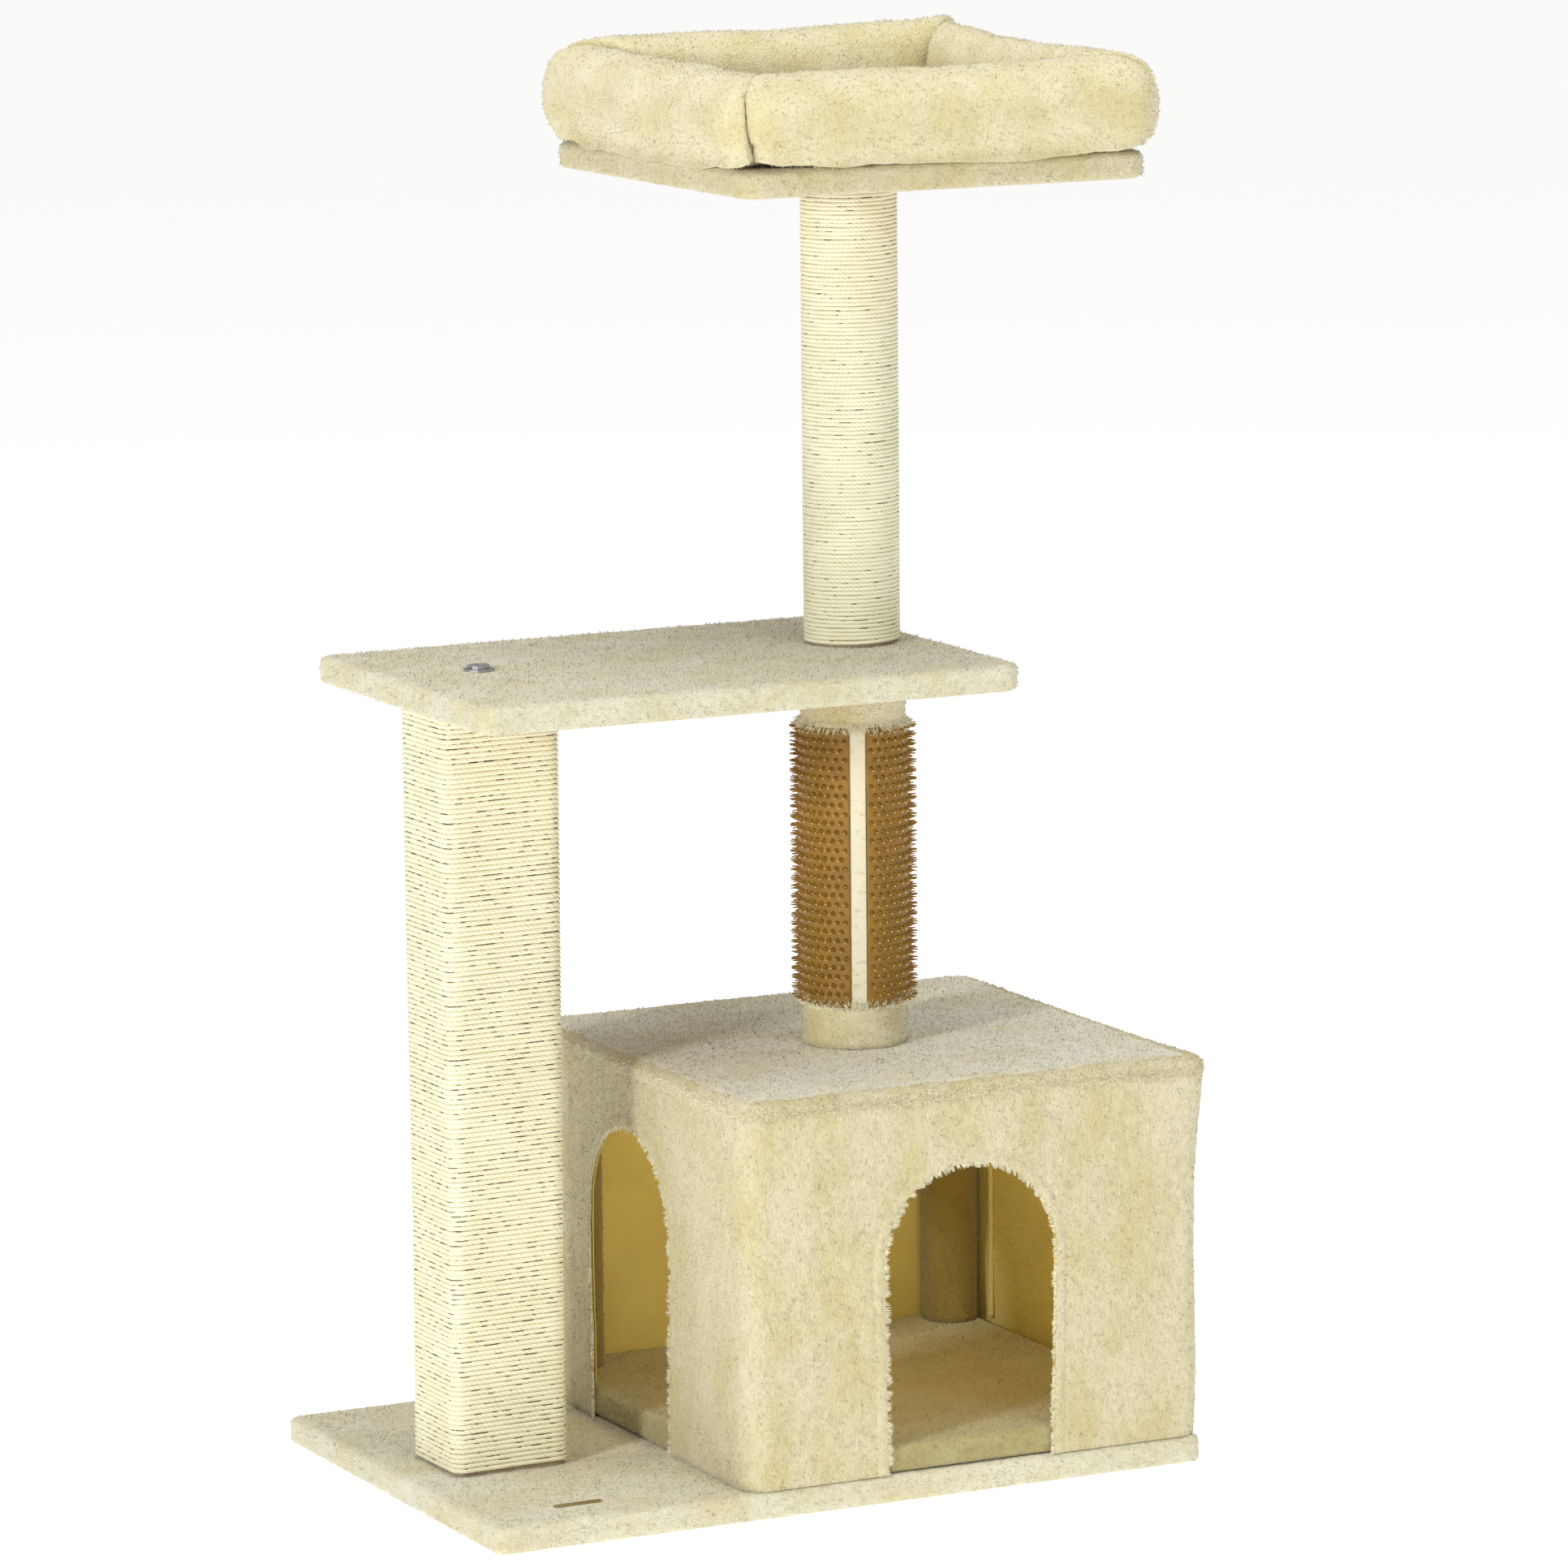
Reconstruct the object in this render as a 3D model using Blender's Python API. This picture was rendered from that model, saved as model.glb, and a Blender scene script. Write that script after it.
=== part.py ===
"""Cat tree: plush base, two-door plush house, square rope column, shelf, brush post, rope post, bed.

Metres, +Z up. The origin is the centre of the base on the floor. +X runs to the right along the
base's long front edge and +Y runs to the back. Each assembly hangs from its own empty, and the
pieces of a wrapped panel are a board and the plush cover stapled round it.
"""

import math

import bmesh
import bpy
from mathutils import Vector

# Clearances and round pieces
GAP = 0.0003
OVERRUN = 0.002
MERGE = 0.000001
ROUND_SIDES = 28
BOLT_SIDES = 12
CORNER_STEPS = 3
SMOOTH_ANGLE = math.radians(40)

# Wrapped panels: a particle board in a plush cover, folded under and stapled as a border
BOARD_T = 0.015
PLUSH_T = 0.003
PANEL_T = BOARD_T + 2 * (PLUSH_T + GAP)
FOLD_UNDER = 0.018
PANEL_EDGE_R = 0.005

# Base, house, shelf and bed: outer sizes and centres
BASE_SIZE = (0.600, 0.400)
BASE_CORNER_R = 0.010
HOUSE_CENTRE = (0.101, -0.0035)
HOUSE_SIZE = (0.390, 0.390)
HOUSE_CORNER_R = 0.018
HOUSE_Z0 = PANEL_T + GAP
HOUSE_TOP = 0.3236
ROOF_SKIRT = 0.0106
ROOF_EDGE_R = 0.006
SHELF_CENTRE = (-0.072, -0.027)
SHELF_SIZE = (0.452, 0.314)
SHELF_CORNER_R = 0.014
SHELF_Z = 0.6174
BED_SIZE = (0.3455, 0.3361)
BED_CORNER_R = 0.014
BED_Z = 1.0030

# Doorways in the house's wall: an arch on nearly straight jambs
DOOR_HALF_W = 0.0745
DOOR_FOOT_HALF_W = 0.0715
DOOR_ARCH_STEPS = 14
FRONT_DOOR_X = 0.098
FRONT_DOOR_SPRING = 0.185
SIDE_DOOR_Y = 0.0095
SIDE_DOOR_SPRING = 0.1935
HEM_W = 0.009
HEM_T = 0.0012

# House posts
HOUSE_POST_R = 0.0192
HOUSE_POST_SCREW_DEPTH = 0.019
HOUSE_POST_BOLT_DEPTH = 0.031

# Square rope column
COLUMN_CENTRE = (-0.221, -0.007)
COLUMN_SIZE = (0.098, 0.084)
COLUMN_CORNER_R = 0.007
COLUMN_ROPE_T = 0.0038
COLUMN_WALL = 0.005

# Round posts, both on one axis
POST_CENTRE = (0.0931, -0.0154)
TUBE_WALL = 0.004
BRUSH_TUBE_R = 0.0375
UPPER_TUBE_R = 0.0340
UPPER_ROPE_T = 0.0035
PLUG_T = 0.018

# Grooming brush sheet round the lower post, with its closing strip
BRUSH_LOW = 0.357
BRUSH_HIGH = 0.577
SHEET_T = 0.0014
SPIKE_TIP_R = 0.0500
STRIP_W = 0.0115
STRIP_T = 0.0008
STRIP_FACING = math.radians(248)
BRUSH_COLUMNS = 22
BRUSH_ROWS = 16

# Bed bolster: four stuffed bars with mitred corners
BOLSTER_HALF = (0.1815, 0.1780)
BOLSTER_W = 0.062
BOLSTER_HEIGHTS = {"front": 0.0700, "left": 0.0700, "right": 0.0750, "back": 0.0820}
BOLSTER_POINTS = 16
BOLSTER_ROUNDNESS = 3.0
BOLSTER_STATIONS = (-1.0, -0.8, -0.4, 0.0, 0.4, 0.8, 1.0)
BOLSTER_PINCH = 0.07

# Fasteners
BOLT_R = 0.0040
BOLT_HOLE_R = 0.0045
BOLT_HEAD_R = 0.0085
HEAD_T = 0.0022
SOCKET_R = 0.0026
SOCKET_DEPTH = 0.0014
WASHER_R = 0.0120
WASHER_T = 0.0015
COUNTERBORE_R = 0.0128
COUNTERBORE_DEPTH = 0.0040
BOLT_PROUD = 0.004
STUD_REACH = 0.002
POST_BOLT_R = 0.0030
POST_BOLT_HOLE_R = 0.0033
POST_BOLT_HEAD_R = 0.0060
POST_COUNTERBORE_R = 0.0075
POST_COUNTERBORE_DEPTH = 0.0028
SCREW_R = 0.0020
SCREW_HOLE_R = 0.0023
SCREW_HEAD_R = 0.0045
SCREW_HEAD_T = 0.0030
SCREW_LENGTH = 0.033
SCREW_SINK_R = 0.0048
SCREW_SINK_DEPTH = 0.0036

# Blank name plate on the base
PLATE_AT = (-0.2195, -0.161)
PLATE_SIZE = (0.039, 0.006)
PLATE_CORNER_R = 0.002
PLATE_T = 0.0008

# Finishes: name -> (sRGB colour, roughness, metallic)
FINISHES = {
    "plush": ((225, 212, 170), 0.95, 0.0),
    "stuffed_plush": ((230, 217, 175), 0.95, 0.0),
    "particle_board": ((178, 144, 96), 0.80, 0.0),
    "timber": ((205, 172, 120), 0.70, 0.0),
    "card_tube": ((160, 128, 86), 0.90, 0.0),
    "rope": ((228, 223, 190), 0.90, 0.0),
    "brush_rubber": ((147, 108, 55), 0.55, 0.0),
    "strip": ((234, 228, 196), 0.45, 0.0),
    "zinc_steel": ((170, 170, 168), 0.35, 1.0),
    "brass_plate": ((168, 148, 96), 0.30, 1.0),
}


def clear_scene():
    """Remove whatever the file holds, so the model starts from an empty scene."""
    for item in list(bpy.data.objects):
        bpy.data.objects.remove(item, do_unlink=True)


def linear(channel):
    """Turn one 0-255 sRGB channel into a linear value."""
    value = channel / 255
    return value / 12.92 if value <= 0.04045 else ((value + 0.055) / 1.055) ** 2.4


def make_finish(name):
    """Make one Principled material from the FINISHES table."""
    colour, roughness, metallic = FINISHES[name]
    finish = bpy.data.materials.new(name)
    finish.use_nodes = True
    shader = finish.node_tree.nodes["Principled BSDF"]
    shader.inputs["Base Color"].default_value = (*map(linear, colour), 1.0)
    shader.inputs["Roughness"].default_value = roughness
    shader.inputs["Metallic"].default_value = metallic
    return finish


def make_frame(name, location):
    """Make the empty that an assembly's pieces hang from."""
    frame = bpy.data.objects.new(name, None)
    frame.location = location
    bpy.context.collection.objects.link(frame)
    return frame


def make_piece(name, mesh, parent, at, finish):
    """Turn a bmesh into an object under its parent, with outward faces and smooth rounds."""
    bmesh.ops.remove_doubles(mesh, verts=mesh.verts, dist=MERGE)
    bmesh.ops.recalc_face_normals(mesh, faces=mesh.faces)
    data = bpy.data.meshes.new(name)
    mesh.to_mesh(data)
    mesh.free()
    data.shade_smooth()
    data.set_sharp_from_angle(angle=SMOOTH_ANGLE)
    if finish is not None:
        data.materials.append(finish)
    piece = bpy.data.objects.new(name, data)
    piece.parent = parent
    piece.location = at
    bpy.context.collection.objects.link(piece)
    return piece


def loft(rings, closed=False):
    """Join rings of equal length with quads. Open lofts are capped, closed ones meet their start."""
    mesh = bmesh.new()
    rows = [[mesh.verts.new(point) for point in ring] for ring in rings]
    pairs = list(zip(rows, rows[1:]))
    if closed:
        pairs.append((rows[-1], rows[0]))
    for low, high in pairs:
        for index in range(len(low)):
            after = (index + 1) % len(low)
            mesh.faces.new((low[index], low[after], high[after], high[index]))
    if not closed:
        mesh.faces.new(rows[0][::-1])
        mesh.faces.new(rows[-1])
    return mesh


def turned(profile, sides=ROUND_SIDES):
    """Spin an outline of (radius, height) points about Z. It may start and end on the axis."""
    mesh = bmesh.new()
    points = [mesh.verts.new((radius, 0, height)) for radius, height in profile]
    edges = [mesh.edges.new(pair) for pair in zip(points, points[1:])]
    if profile[0][0] > 0:
        edges.append(mesh.edges.new((points[-1], points[0])))
    bmesh.ops.spin(
        mesh, geom=points + edges, cent=(0, 0, 0), axis=(0, 0, 1), angle=math.tau, steps=sides, use_merge=True
    )
    return mesh


def tube_outline(outer, inner, low, high):
    """The (radius, height) outline of a plain tube."""
    return [(outer, low), (outer, high), (inner, high), (inner, low)]


def rounded_ring(size, corner, height):
    """A rectangle centred on the origin with round corners, as points at one height."""
    points = []
    for quarter, (sign_x, sign_y) in enumerate(((1, 1), (-1, 1), (-1, -1), (1, -1))):
        centre_x = sign_x * (size[0] / 2 - corner)
        centre_y = sign_y * (size[1] / 2 - corner)
        for step in range(CORNER_STEPS + 1):
            angle = (quarter + step / CORNER_STEPS) * math.pi / 2
            points.append((centre_x + corner * math.cos(angle), centre_y + corner * math.sin(angle), height))
    return points


def inset_ring(size, corner, inset, height):
    """The same rounded rectangle drawn in by inset."""
    return rounded_ring((size[0] - 2 * inset, size[1] - 2 * inset), corner - inset, height)


def soft_slab(size, corner, low, high, top_edge, bottom_edge):
    """A rounded slab whose top and bottom edges are quarter rounds of the given radii."""
    quarter = [step * math.pi / 6 for step in range(4)]
    rings = []
    if bottom_edge:
        for angle in quarter[:-1]:
            inset = bottom_edge * (1 - math.sin(angle))
            rings.append(inset_ring(size, corner, inset, low + bottom_edge * (1 - math.cos(angle))))
    rings.append(inset_ring(size, corner, 0, low + bottom_edge))
    if top_edge:
        rings.append(inset_ring(size, corner, 0, high - top_edge))
        for angle in quarter[1:]:
            inset = top_edge * (1 - math.cos(angle))
            rings.append(inset_ring(size, corner, inset, high - top_edge * (1 - math.sin(angle))))
    else:
        rings.append(inset_ring(size, corner, 0, high))
    return loft(rings)


def plain_slab(size, corner, low, high):
    """A rounded slab with square edges."""
    return soft_slab(size, corner, low, high, 0, 0)


def square_tube(size, corner, wall, low, high):
    """A rounded rectangular tube, open at both ends."""
    return loft(
        [
            inset_ring(size, corner, 0, low),
            inset_ring(size, corner, 0, high),
            inset_ring(size, corner, wall, high),
            inset_ring(size, corner, wall, low),
        ],
        closed=True,
    )


def cut(pieces, name, mesh, parent, at):
    """Cut a hidden tool's shape out of each piece."""
    tool = make_piece(name, mesh, parent, at, None)
    tool.hide_render = True
    tool.display_type = "WIRE"
    for piece in pieces:
        modifier = piece.modifiers.new(name, "BOOLEAN")
        modifier.operation = "DIFFERENCE"
        modifier.solver = "EXACT"
        modifier.object = tool
    return tool


def bore(pieces, name, parent, at, radius, low, high):
    """Drill one round hole through the pieces."""
    outline = [(0, low), (radius, low), (radius, high), (0, high)]
    return cut(pieces, name, turned(outline, BOLT_SIDES), parent, at)


def wrapped_panel(prefix, parent, size, corner, finishes):
    """A board in its plush cover. The cover's fold leaves a window in the underside."""
    cover = make_piece(
        f"{prefix}_cover",
        soft_slab(size, corner, 0, PANEL_T, PANEL_EDGE_R, PANEL_EDGE_R),
        parent,
        (0, 0, 0),
        finishes["plush"],
    )
    void_size = (size[0] - 2 * PLUSH_T, size[1] - 2 * PLUSH_T)
    void = plain_slab(void_size, corner - PLUSH_T, PLUSH_T, PANEL_T - PLUSH_T)
    cut([cover], f"{prefix}_void", void, parent, (0, 0, 0))
    window_size = (size[0] - 2 * FOLD_UNDER, size[1] - 2 * FOLD_UNDER)
    window = plain_slab(window_size, corner, -OVERRUN, PLUSH_T + OVERRUN)
    cut([cover], f"{prefix}_window", window, parent, (0, 0, 0))
    inset = PLUSH_T + GAP
    board_size = (size[0] - 2 * inset, size[1] - 2 * inset)
    board = make_piece(
        f"{prefix}_board",
        plain_slab(board_size, corner - inset, inset, inset + BOARD_T),
        parent,
        (0, 0, 0),
        finishes["particle_board"],
    )
    return board, cover


def socket_bolt(name, parent, at, length, finishes, pointing_down=False, radius=BOLT_R, head=BOLT_HEAD_R):
    """A flat-headed bolt with a driving socket. Its origin is under the head, where the shank starts."""
    outline = [
        (0, SOCKET_DEPTH - HEAD_T),
        (SOCKET_R * radius / BOLT_R, SOCKET_DEPTH - HEAD_T),
        (SOCKET_R * radius / BOLT_R, -HEAD_T),
        (head, -HEAD_T),
        (head, 0),
        (radius, 0),
        (radius, length - radius / 4),
        (radius * 3 / 4, length),
        (0, length),
    ]
    bolt = make_piece(name, turned(outline, BOLT_SIDES), parent, at, finishes["zinc_steel"])
    bolt.rotation_euler.x = math.pi if pointing_down else 0
    return bolt


def washer(name, parent, at, finishes):
    """A flat washer lying on its low face."""
    outline = tube_outline(WASHER_R, BOLT_HOLE_R, 0, WASHER_T)
    return make_piece(name, turned(outline, BOLT_SIDES), parent, at, finishes["zinc_steel"])


def top_bolt(prefix, parent, at, finishes):
    """A bolt and washer lying on a panel's plush, down into the plug of the post below it."""
    x, y, top = at
    washer(f"{prefix}_washer", parent, (x, y, top + GAP), finishes)
    seat = top + WASHER_T + 2 * GAP
    length = seat - top + PANEL_T + GAP + PLUG_T + BOLT_PROUD
    socket_bolt(f"{prefix}_bolt", parent, (x, y, seat), length, finishes, pointing_down=True)


def round_plugs(prefix, parent, radius, length, finishes):
    """Two timber discs that close a round tube's ends and take its bolts."""
    for end, low in (("lower", 0), ("upper", length - PLUG_T)):
        outline = tube_outline(radius, BOLT_HOLE_R, low, low + PLUG_T)
        make_piece(f"{prefix}_{end}_plug", turned(outline), parent, (0, 0, 0), finishes["timber"])


def build_base(finishes):
    """The covered base board with its counterbored bolt holes and a blank name plate."""
    frame = make_frame("base", (0, 0, 0))
    board, cover = wrapped_panel("base", frame, BASE_SIZE, BASE_CORNER_R, finishes)
    at = (*COLUMN_CENTRE, 0)
    under = PLUSH_T + GAP
    bore([board, cover], "column_bolt_bore", frame, at, BOLT_HOLE_R, 0, PANEL_T + OVERRUN)
    bore([board], "column_bolt_recess", frame, at, COUNTERBORE_R, 0, under + COUNTERBORE_DEPTH)
    for corner, (x, y) in house_post_places().items():
        at = (HOUSE_CENTRE[0] + x, HOUSE_CENTRE[1] + y, 0)
        bore([board, cover], f"{corner}_base_bore", frame, at, POST_BOLT_HOLE_R, 0, PANEL_T + OVERRUN)
        recess_top = under + POST_COUNTERBORE_DEPTH
        bore([board], f"{corner}_base_recess", frame, at, POST_COUNTERBORE_R, 0, recess_top)
    plate = plain_slab(PLATE_SIZE, PLATE_CORNER_R, 0, PLATE_T)
    make_piece("name_plate", plate, frame, (*PLATE_AT, PANEL_T + GAP), finishes["brass_plate"])


def house_post_places():
    """Corner name -> (x, y) of each house post's axis, from the house's centre."""
    reach_x = HOUSE_SIZE[0] / 2 - PLUSH_T - 2 * GAP - house_sleeve_radius()
    reach_y = HOUSE_SIZE[1] / 2 - PLUSH_T - 2 * GAP - house_sleeve_radius()
    return {
        "front_left": (-reach_x, -reach_y),
        "front_right": (reach_x, -reach_y),
        "back_left": (-reach_x, reach_y),
        "back_right": (reach_x, reach_y),
    }


def house_sleeve_radius():
    """Outer radius of the plush sleeve on a house post."""
    return HOUSE_POST_R + GAP + PLUSH_T


def build_house_floor(frame, finishes):
    """The house's floor, a wrapped panel inside the foot of the wall."""
    inset = PLUSH_T + GAP
    size = (HOUSE_SIZE[0] - 2 * inset, HOUSE_SIZE[1] - 2 * inset)
    panel = wrapped_panel("house_floor", frame, size, HOUSE_CORNER_R - inset, finishes)
    for corner, (x, y) in house_post_places().items():
        bore(panel, f"{corner}_floor_bore", frame, (x, y, 0), POST_BOLT_HOLE_R, -OVERRUN, PANEL_T + OVERRUN)


def build_house_roof(frame, finishes):
    """The roof board with its plush cap, drilled for the brush post and the four post screws."""
    top = HOUSE_TOP - HOUSE_Z0
    board_top = top - PLUSH_T - GAP
    board_low = board_top - BOARD_T
    inset = PLUSH_T + GAP
    board_size = (HOUSE_SIZE[0] - 2 * inset, HOUSE_SIZE[1] - 2 * inset)
    slab = plain_slab(board_size, HOUSE_CORNER_R - inset, board_low, board_top)
    board = make_piece("house_roof_board", slab, frame, (0, 0, 0), finishes["particle_board"])
    slab = soft_slab(HOUSE_SIZE, HOUSE_CORNER_R, top - ROOF_SKIRT, top, ROOF_EDGE_R, 0)
    cover = make_piece("house_roof_cover", slab, frame, (0, 0, 0), finishes["plush"])
    void_size = (HOUSE_SIZE[0] - 2 * PLUSH_T, HOUSE_SIZE[1] - 2 * PLUSH_T)
    void_corner = HOUSE_CORNER_R - PLUSH_T
    void = plain_slab(void_size, void_corner, top - ROOF_SKIRT - OVERRUN, top - PLUSH_T)
    cut([cover], "house_roof_void", void, frame, (0, 0, 0))
    at = (POST_CENTRE[0] - HOUSE_CENTRE[0], POST_CENTRE[1] - HOUSE_CENTRE[1], 0)
    bore([board, cover], "roof_bolt_bore", frame, at, BOLT_HOLE_R, board_low - OVERRUN, top + OVERRUN)
    for corner, (x, y) in house_post_places().items():
        at = (x, y, board_top)
        bore([board], f"{corner}_screw_bore", frame, at, SCREW_HOLE_R, -BOARD_T - OVERRUN, OVERRUN)
        bore([board], f"{corner}_screw_sink", frame, at, SCREW_SINK_R, -SCREW_SINK_DEPTH, OVERRUN)


def build_house_post(corner, place, frame, finishes):
    """One timber corner post in a plush sleeve, bolted from below and screwed from above."""
    low = PANEL_T + GAP
    high = HOUSE_TOP - HOUSE_Z0 - PLUSH_T - BOARD_T - 2 * GAP
    at = (*place, 0)
    outline = [(0, low), (HOUSE_POST_R, low), (HOUSE_POST_R, high), (0, high)]
    core = make_piece(f"{corner}_post_core", turned(outline), frame, at, finishes["timber"])
    outline = tube_outline(house_sleeve_radius(), HOUSE_POST_R + GAP, low, high)
    make_piece(f"{corner}_post_sleeve", turned(outline), frame, at, finishes["plush"])
    bolt_end = low + HOUSE_POST_BOLT_DEPTH
    bore([core], f"{corner}_post_bolt_hole", frame, at, POST_BOLT_HOLE_R, low - OVERRUN, bolt_end)
    screw_low = high - HOUSE_POST_SCREW_DEPTH
    bore([core], f"{corner}_post_screw_hole", frame, at, SCREW_HOLE_R, screw_low, high + OVERRUN)
    seat = PLUSH_T + POST_COUNTERBORE_DEPTH - HOUSE_Z0
    length = bolt_end - seat - 2 * GAP
    at = (*place, seat)
    name = f"{corner}_post_bolt"
    socket_bolt(name, frame, at, length, finishes, radius=POST_BOLT_R, head=POST_BOLT_HEAD_R)
    outline = [
        (0, 0),
        (SCREW_HEAD_R, 0),
        (SCREW_R, -SCREW_HEAD_T),
        (SCREW_R, SCREW_R - SCREW_LENGTH),
        (0, -SCREW_LENGTH),
    ]
    at = (*place, HOUSE_TOP - HOUSE_Z0 - PLUSH_T - 2 * GAP)
    make_piece(f"{corner}_post_screw", turned(outline, BOLT_SIDES), frame, at, finishes["zinc_steel"])


def arch_outline(spring, foot, spread):
    """Points (across, height) up one jamb, over the arch and down the other, spread outwards."""
    points = [(DOOR_FOOT_HALF_W + spread, foot)]
    for step in range(DOOR_ARCH_STEPS + 1):
        angle = math.pi * step / DOOR_ARCH_STEPS
        radius = DOOR_HALF_W + spread
        points.append((radius * math.cos(angle), spring + radius * math.sin(angle)))
    points.append((-DOOR_FOOT_HALF_W - spread, foot))
    return points


def doorway(wall, name, frame, at, facing, spring, finishes):
    """Cut one arched door through the wall and line its inner edge with a turned-in hem."""
    across = Vector((facing[1], -facing[0], 0))
    depth = Vector((facing[0], facing[1], 0))
    outline = arch_outline(spring, -OVERRUN, 0)
    rings = [
        [across * u + depth * way + Vector((0, 0, z)) for u, z in outline]
        for way in (-PLUSH_T - OVERRUN, OVERRUN)
    ]
    cut([wall], f"{name}_cutter", loft(rings), frame, at)
    foot = PANEL_T + GAP
    near = arch_outline(spring, foot, GAP)
    far = arch_outline(spring, foot, HEM_W)
    front = -PLUSH_T - GAP
    stations = [
        [
            across * u + depth * way + Vector((0, 0, z))
            for (u, z), way in ((inner, front), (outer, front), (outer, front - HEM_T), (inner, front - HEM_T))
        ]
        for inner, outer in zip(near, far)
    ]
    make_piece(f"{name}_hem", loft(stations), frame, at, finishes["plush"])


def build_house(finishes):
    """The plush house: floor, four posts, roof, and one wall strip with two arched doors."""
    frame = make_frame("house", (*HOUSE_CENTRE, HOUSE_Z0))
    build_house_floor(frame, finishes)
    build_house_roof(frame, finishes)
    for corner, place in house_post_places().items():
        build_house_post(corner, place, frame, finishes)
    wall_top = HOUSE_TOP - HOUSE_Z0 - ROOF_SKIRT - GAP
    strip = square_tube(HOUSE_SIZE, HOUSE_CORNER_R, PLUSH_T, 0, wall_top)
    wall = make_piece("house_wall_wrap", strip, frame, (0, 0, 0), finishes["plush"])
    front_at = (FRONT_DOOR_X - HOUSE_CENTRE[0], -HOUSE_SIZE[1] / 2, 0)
    doorway(wall, "front_door", frame, front_at, (0, -1), FRONT_DOOR_SPRING - HOUSE_Z0, finishes)
    side_at = (-HOUSE_SIZE[0] / 2, SIDE_DOOR_Y - HOUSE_CENTRE[1], 0)
    doorway(wall, "side_door", frame, side_at, (-1, 0), SIDE_DOOR_SPRING - HOUSE_Z0, finishes)


def build_column(finishes):
    """The square column: a card core in a wound rope, with a timber plug in each end."""
    low = PANEL_T + GAP
    height = SHELF_Z - GAP - low
    frame = make_frame("column", (*COLUMN_CENTRE, low))
    rope = square_tube(COLUMN_SIZE, COLUMN_CORNER_R, COLUMN_ROPE_T, 0, height)
    make_piece("column_rope", rope, frame, (0, 0, 0), finishes["rope"])
    inset = COLUMN_ROPE_T + GAP
    core_size = (COLUMN_SIZE[0] - 2 * inset, COLUMN_SIZE[1] - 2 * inset)
    core_corner = COLUMN_WALL + 2 * GAP
    core = square_tube(core_size, core_corner, COLUMN_WALL, 0, height)
    make_piece("column_core", core, frame, (0, 0, 0), finishes["card_tube"])
    plug_inset = COLUMN_WALL + GAP
    plug_size = (core_size[0] - 2 * plug_inset, core_size[1] - 2 * plug_inset)
    for end, plug_low in (("lower", 0), ("upper", height - PLUG_T)):
        plug = plain_slab(plug_size, 2 * GAP, plug_low, plug_low + PLUG_T)
        piece = make_piece(f"column_{end}_plug", plug, frame, (0, 0, 0), finishes["timber"])
        hole_top = plug_low + PLUG_T + OVERRUN
        bore([piece], f"column_{end}_bore", frame, (0, 0, 0), BOLT_HOLE_R, plug_low - OVERRUN, hole_top)
    washer_at = PLUSH_T + COUNTERBORE_DEPTH - WASHER_T - low
    washer("column_base_washer", frame, (0, 0, washer_at), finishes)
    seat = washer_at - GAP
    length = PLUG_T + BOLT_PROUD - seat
    socket_bolt("column_base_bolt", frame, (0, 0, seat), length, finishes)


def build_shelf(finishes):
    """The shelf: a wrapped panel on the column and the brush post."""
    frame = make_frame("shelf", (*SHELF_CENTRE, SHELF_Z))
    panel = wrapped_panel("shelf", frame, SHELF_SIZE, SHELF_CORNER_R, finishes)
    for name, place in (("column", COLUMN_CENTRE), ("post", POST_CENTRE)):
        at = (place[0] - SHELF_CENTRE[0], place[1] - SHELF_CENTRE[1], 0)
        bore(panel, f"shelf_{name}_bore", frame, at, BOLT_HOLE_R, -OVERRUN, PANEL_T + OVERRUN)
    at = (COLUMN_CENTRE[0] - SHELF_CENTRE[0], COLUMN_CENTRE[1] - SHELF_CENTRE[1], PANEL_T)
    top_bolt("column_shelf", frame, at, finishes)
    low = -GAP - PLUG_T - STUD_REACH
    high = PANEL_T + GAP + PLUG_T + STUD_REACH
    outline = [(0, low), (BOLT_R, low), (BOLT_R, high), (0, high)]
    at = (POST_CENTRE[0] - SHELF_CENTRE[0], POST_CENTRE[1] - SHELF_CENTRE[1], 0)
    make_piece("shelf_stud", turned(outline, BOLT_SIDES), frame, at, finishes["zinc_steel"])


def brush_sheet(inner, outer, low, high, start, sweep):
    """A rolled sheet, open along one side, with pyramid spikes on alternate cells of its outside."""
    angles = [start + sweep * step / BRUSH_COLUMNS for step in range(BRUSH_COLUMNS + 1)]
    outer_low = [(outer * math.cos(angle), outer * math.sin(angle)) for angle in angles]
    inner_low = [(inner * math.cos(angle), inner * math.sin(angle)) for angle in reversed(angles)]
    outline = outer_low + inner_low
    heights = [low + (high - low) * row / BRUSH_ROWS for row in range(BRUSH_ROWS + 1)]
    mesh = loft([[(x, y, height) for x, y in outline] for height in heights])
    mesh.faces.ensure_lookup_table()
    ring = len(outline)
    for row in range(BRUSH_ROWS):
        for column in range(row % 2, BRUSH_COLUMNS, 2):
            raise_spike(mesh, mesh.faces[row * ring + column], SPIKE_TIP_R)
    return mesh


def raise_spike(mesh, face, tip_radius):
    """Draw a smaller face inside a cell of the sheet and pull its centre out to the tip radius."""
    bmesh.ops.inset_individual(mesh, faces=[face], thickness=0.0024)
    centre = face.calc_center_median()
    flat = Vector((centre.x, centre.y, 0))
    tip = bmesh.ops.poke(mesh, faces=[face], offset=0)["verts"][0]
    tip.co = flat.normalized() * tip_radius + Vector((0, 0, centre.z))
    mesh.faces.ensure_lookup_table()


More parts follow.
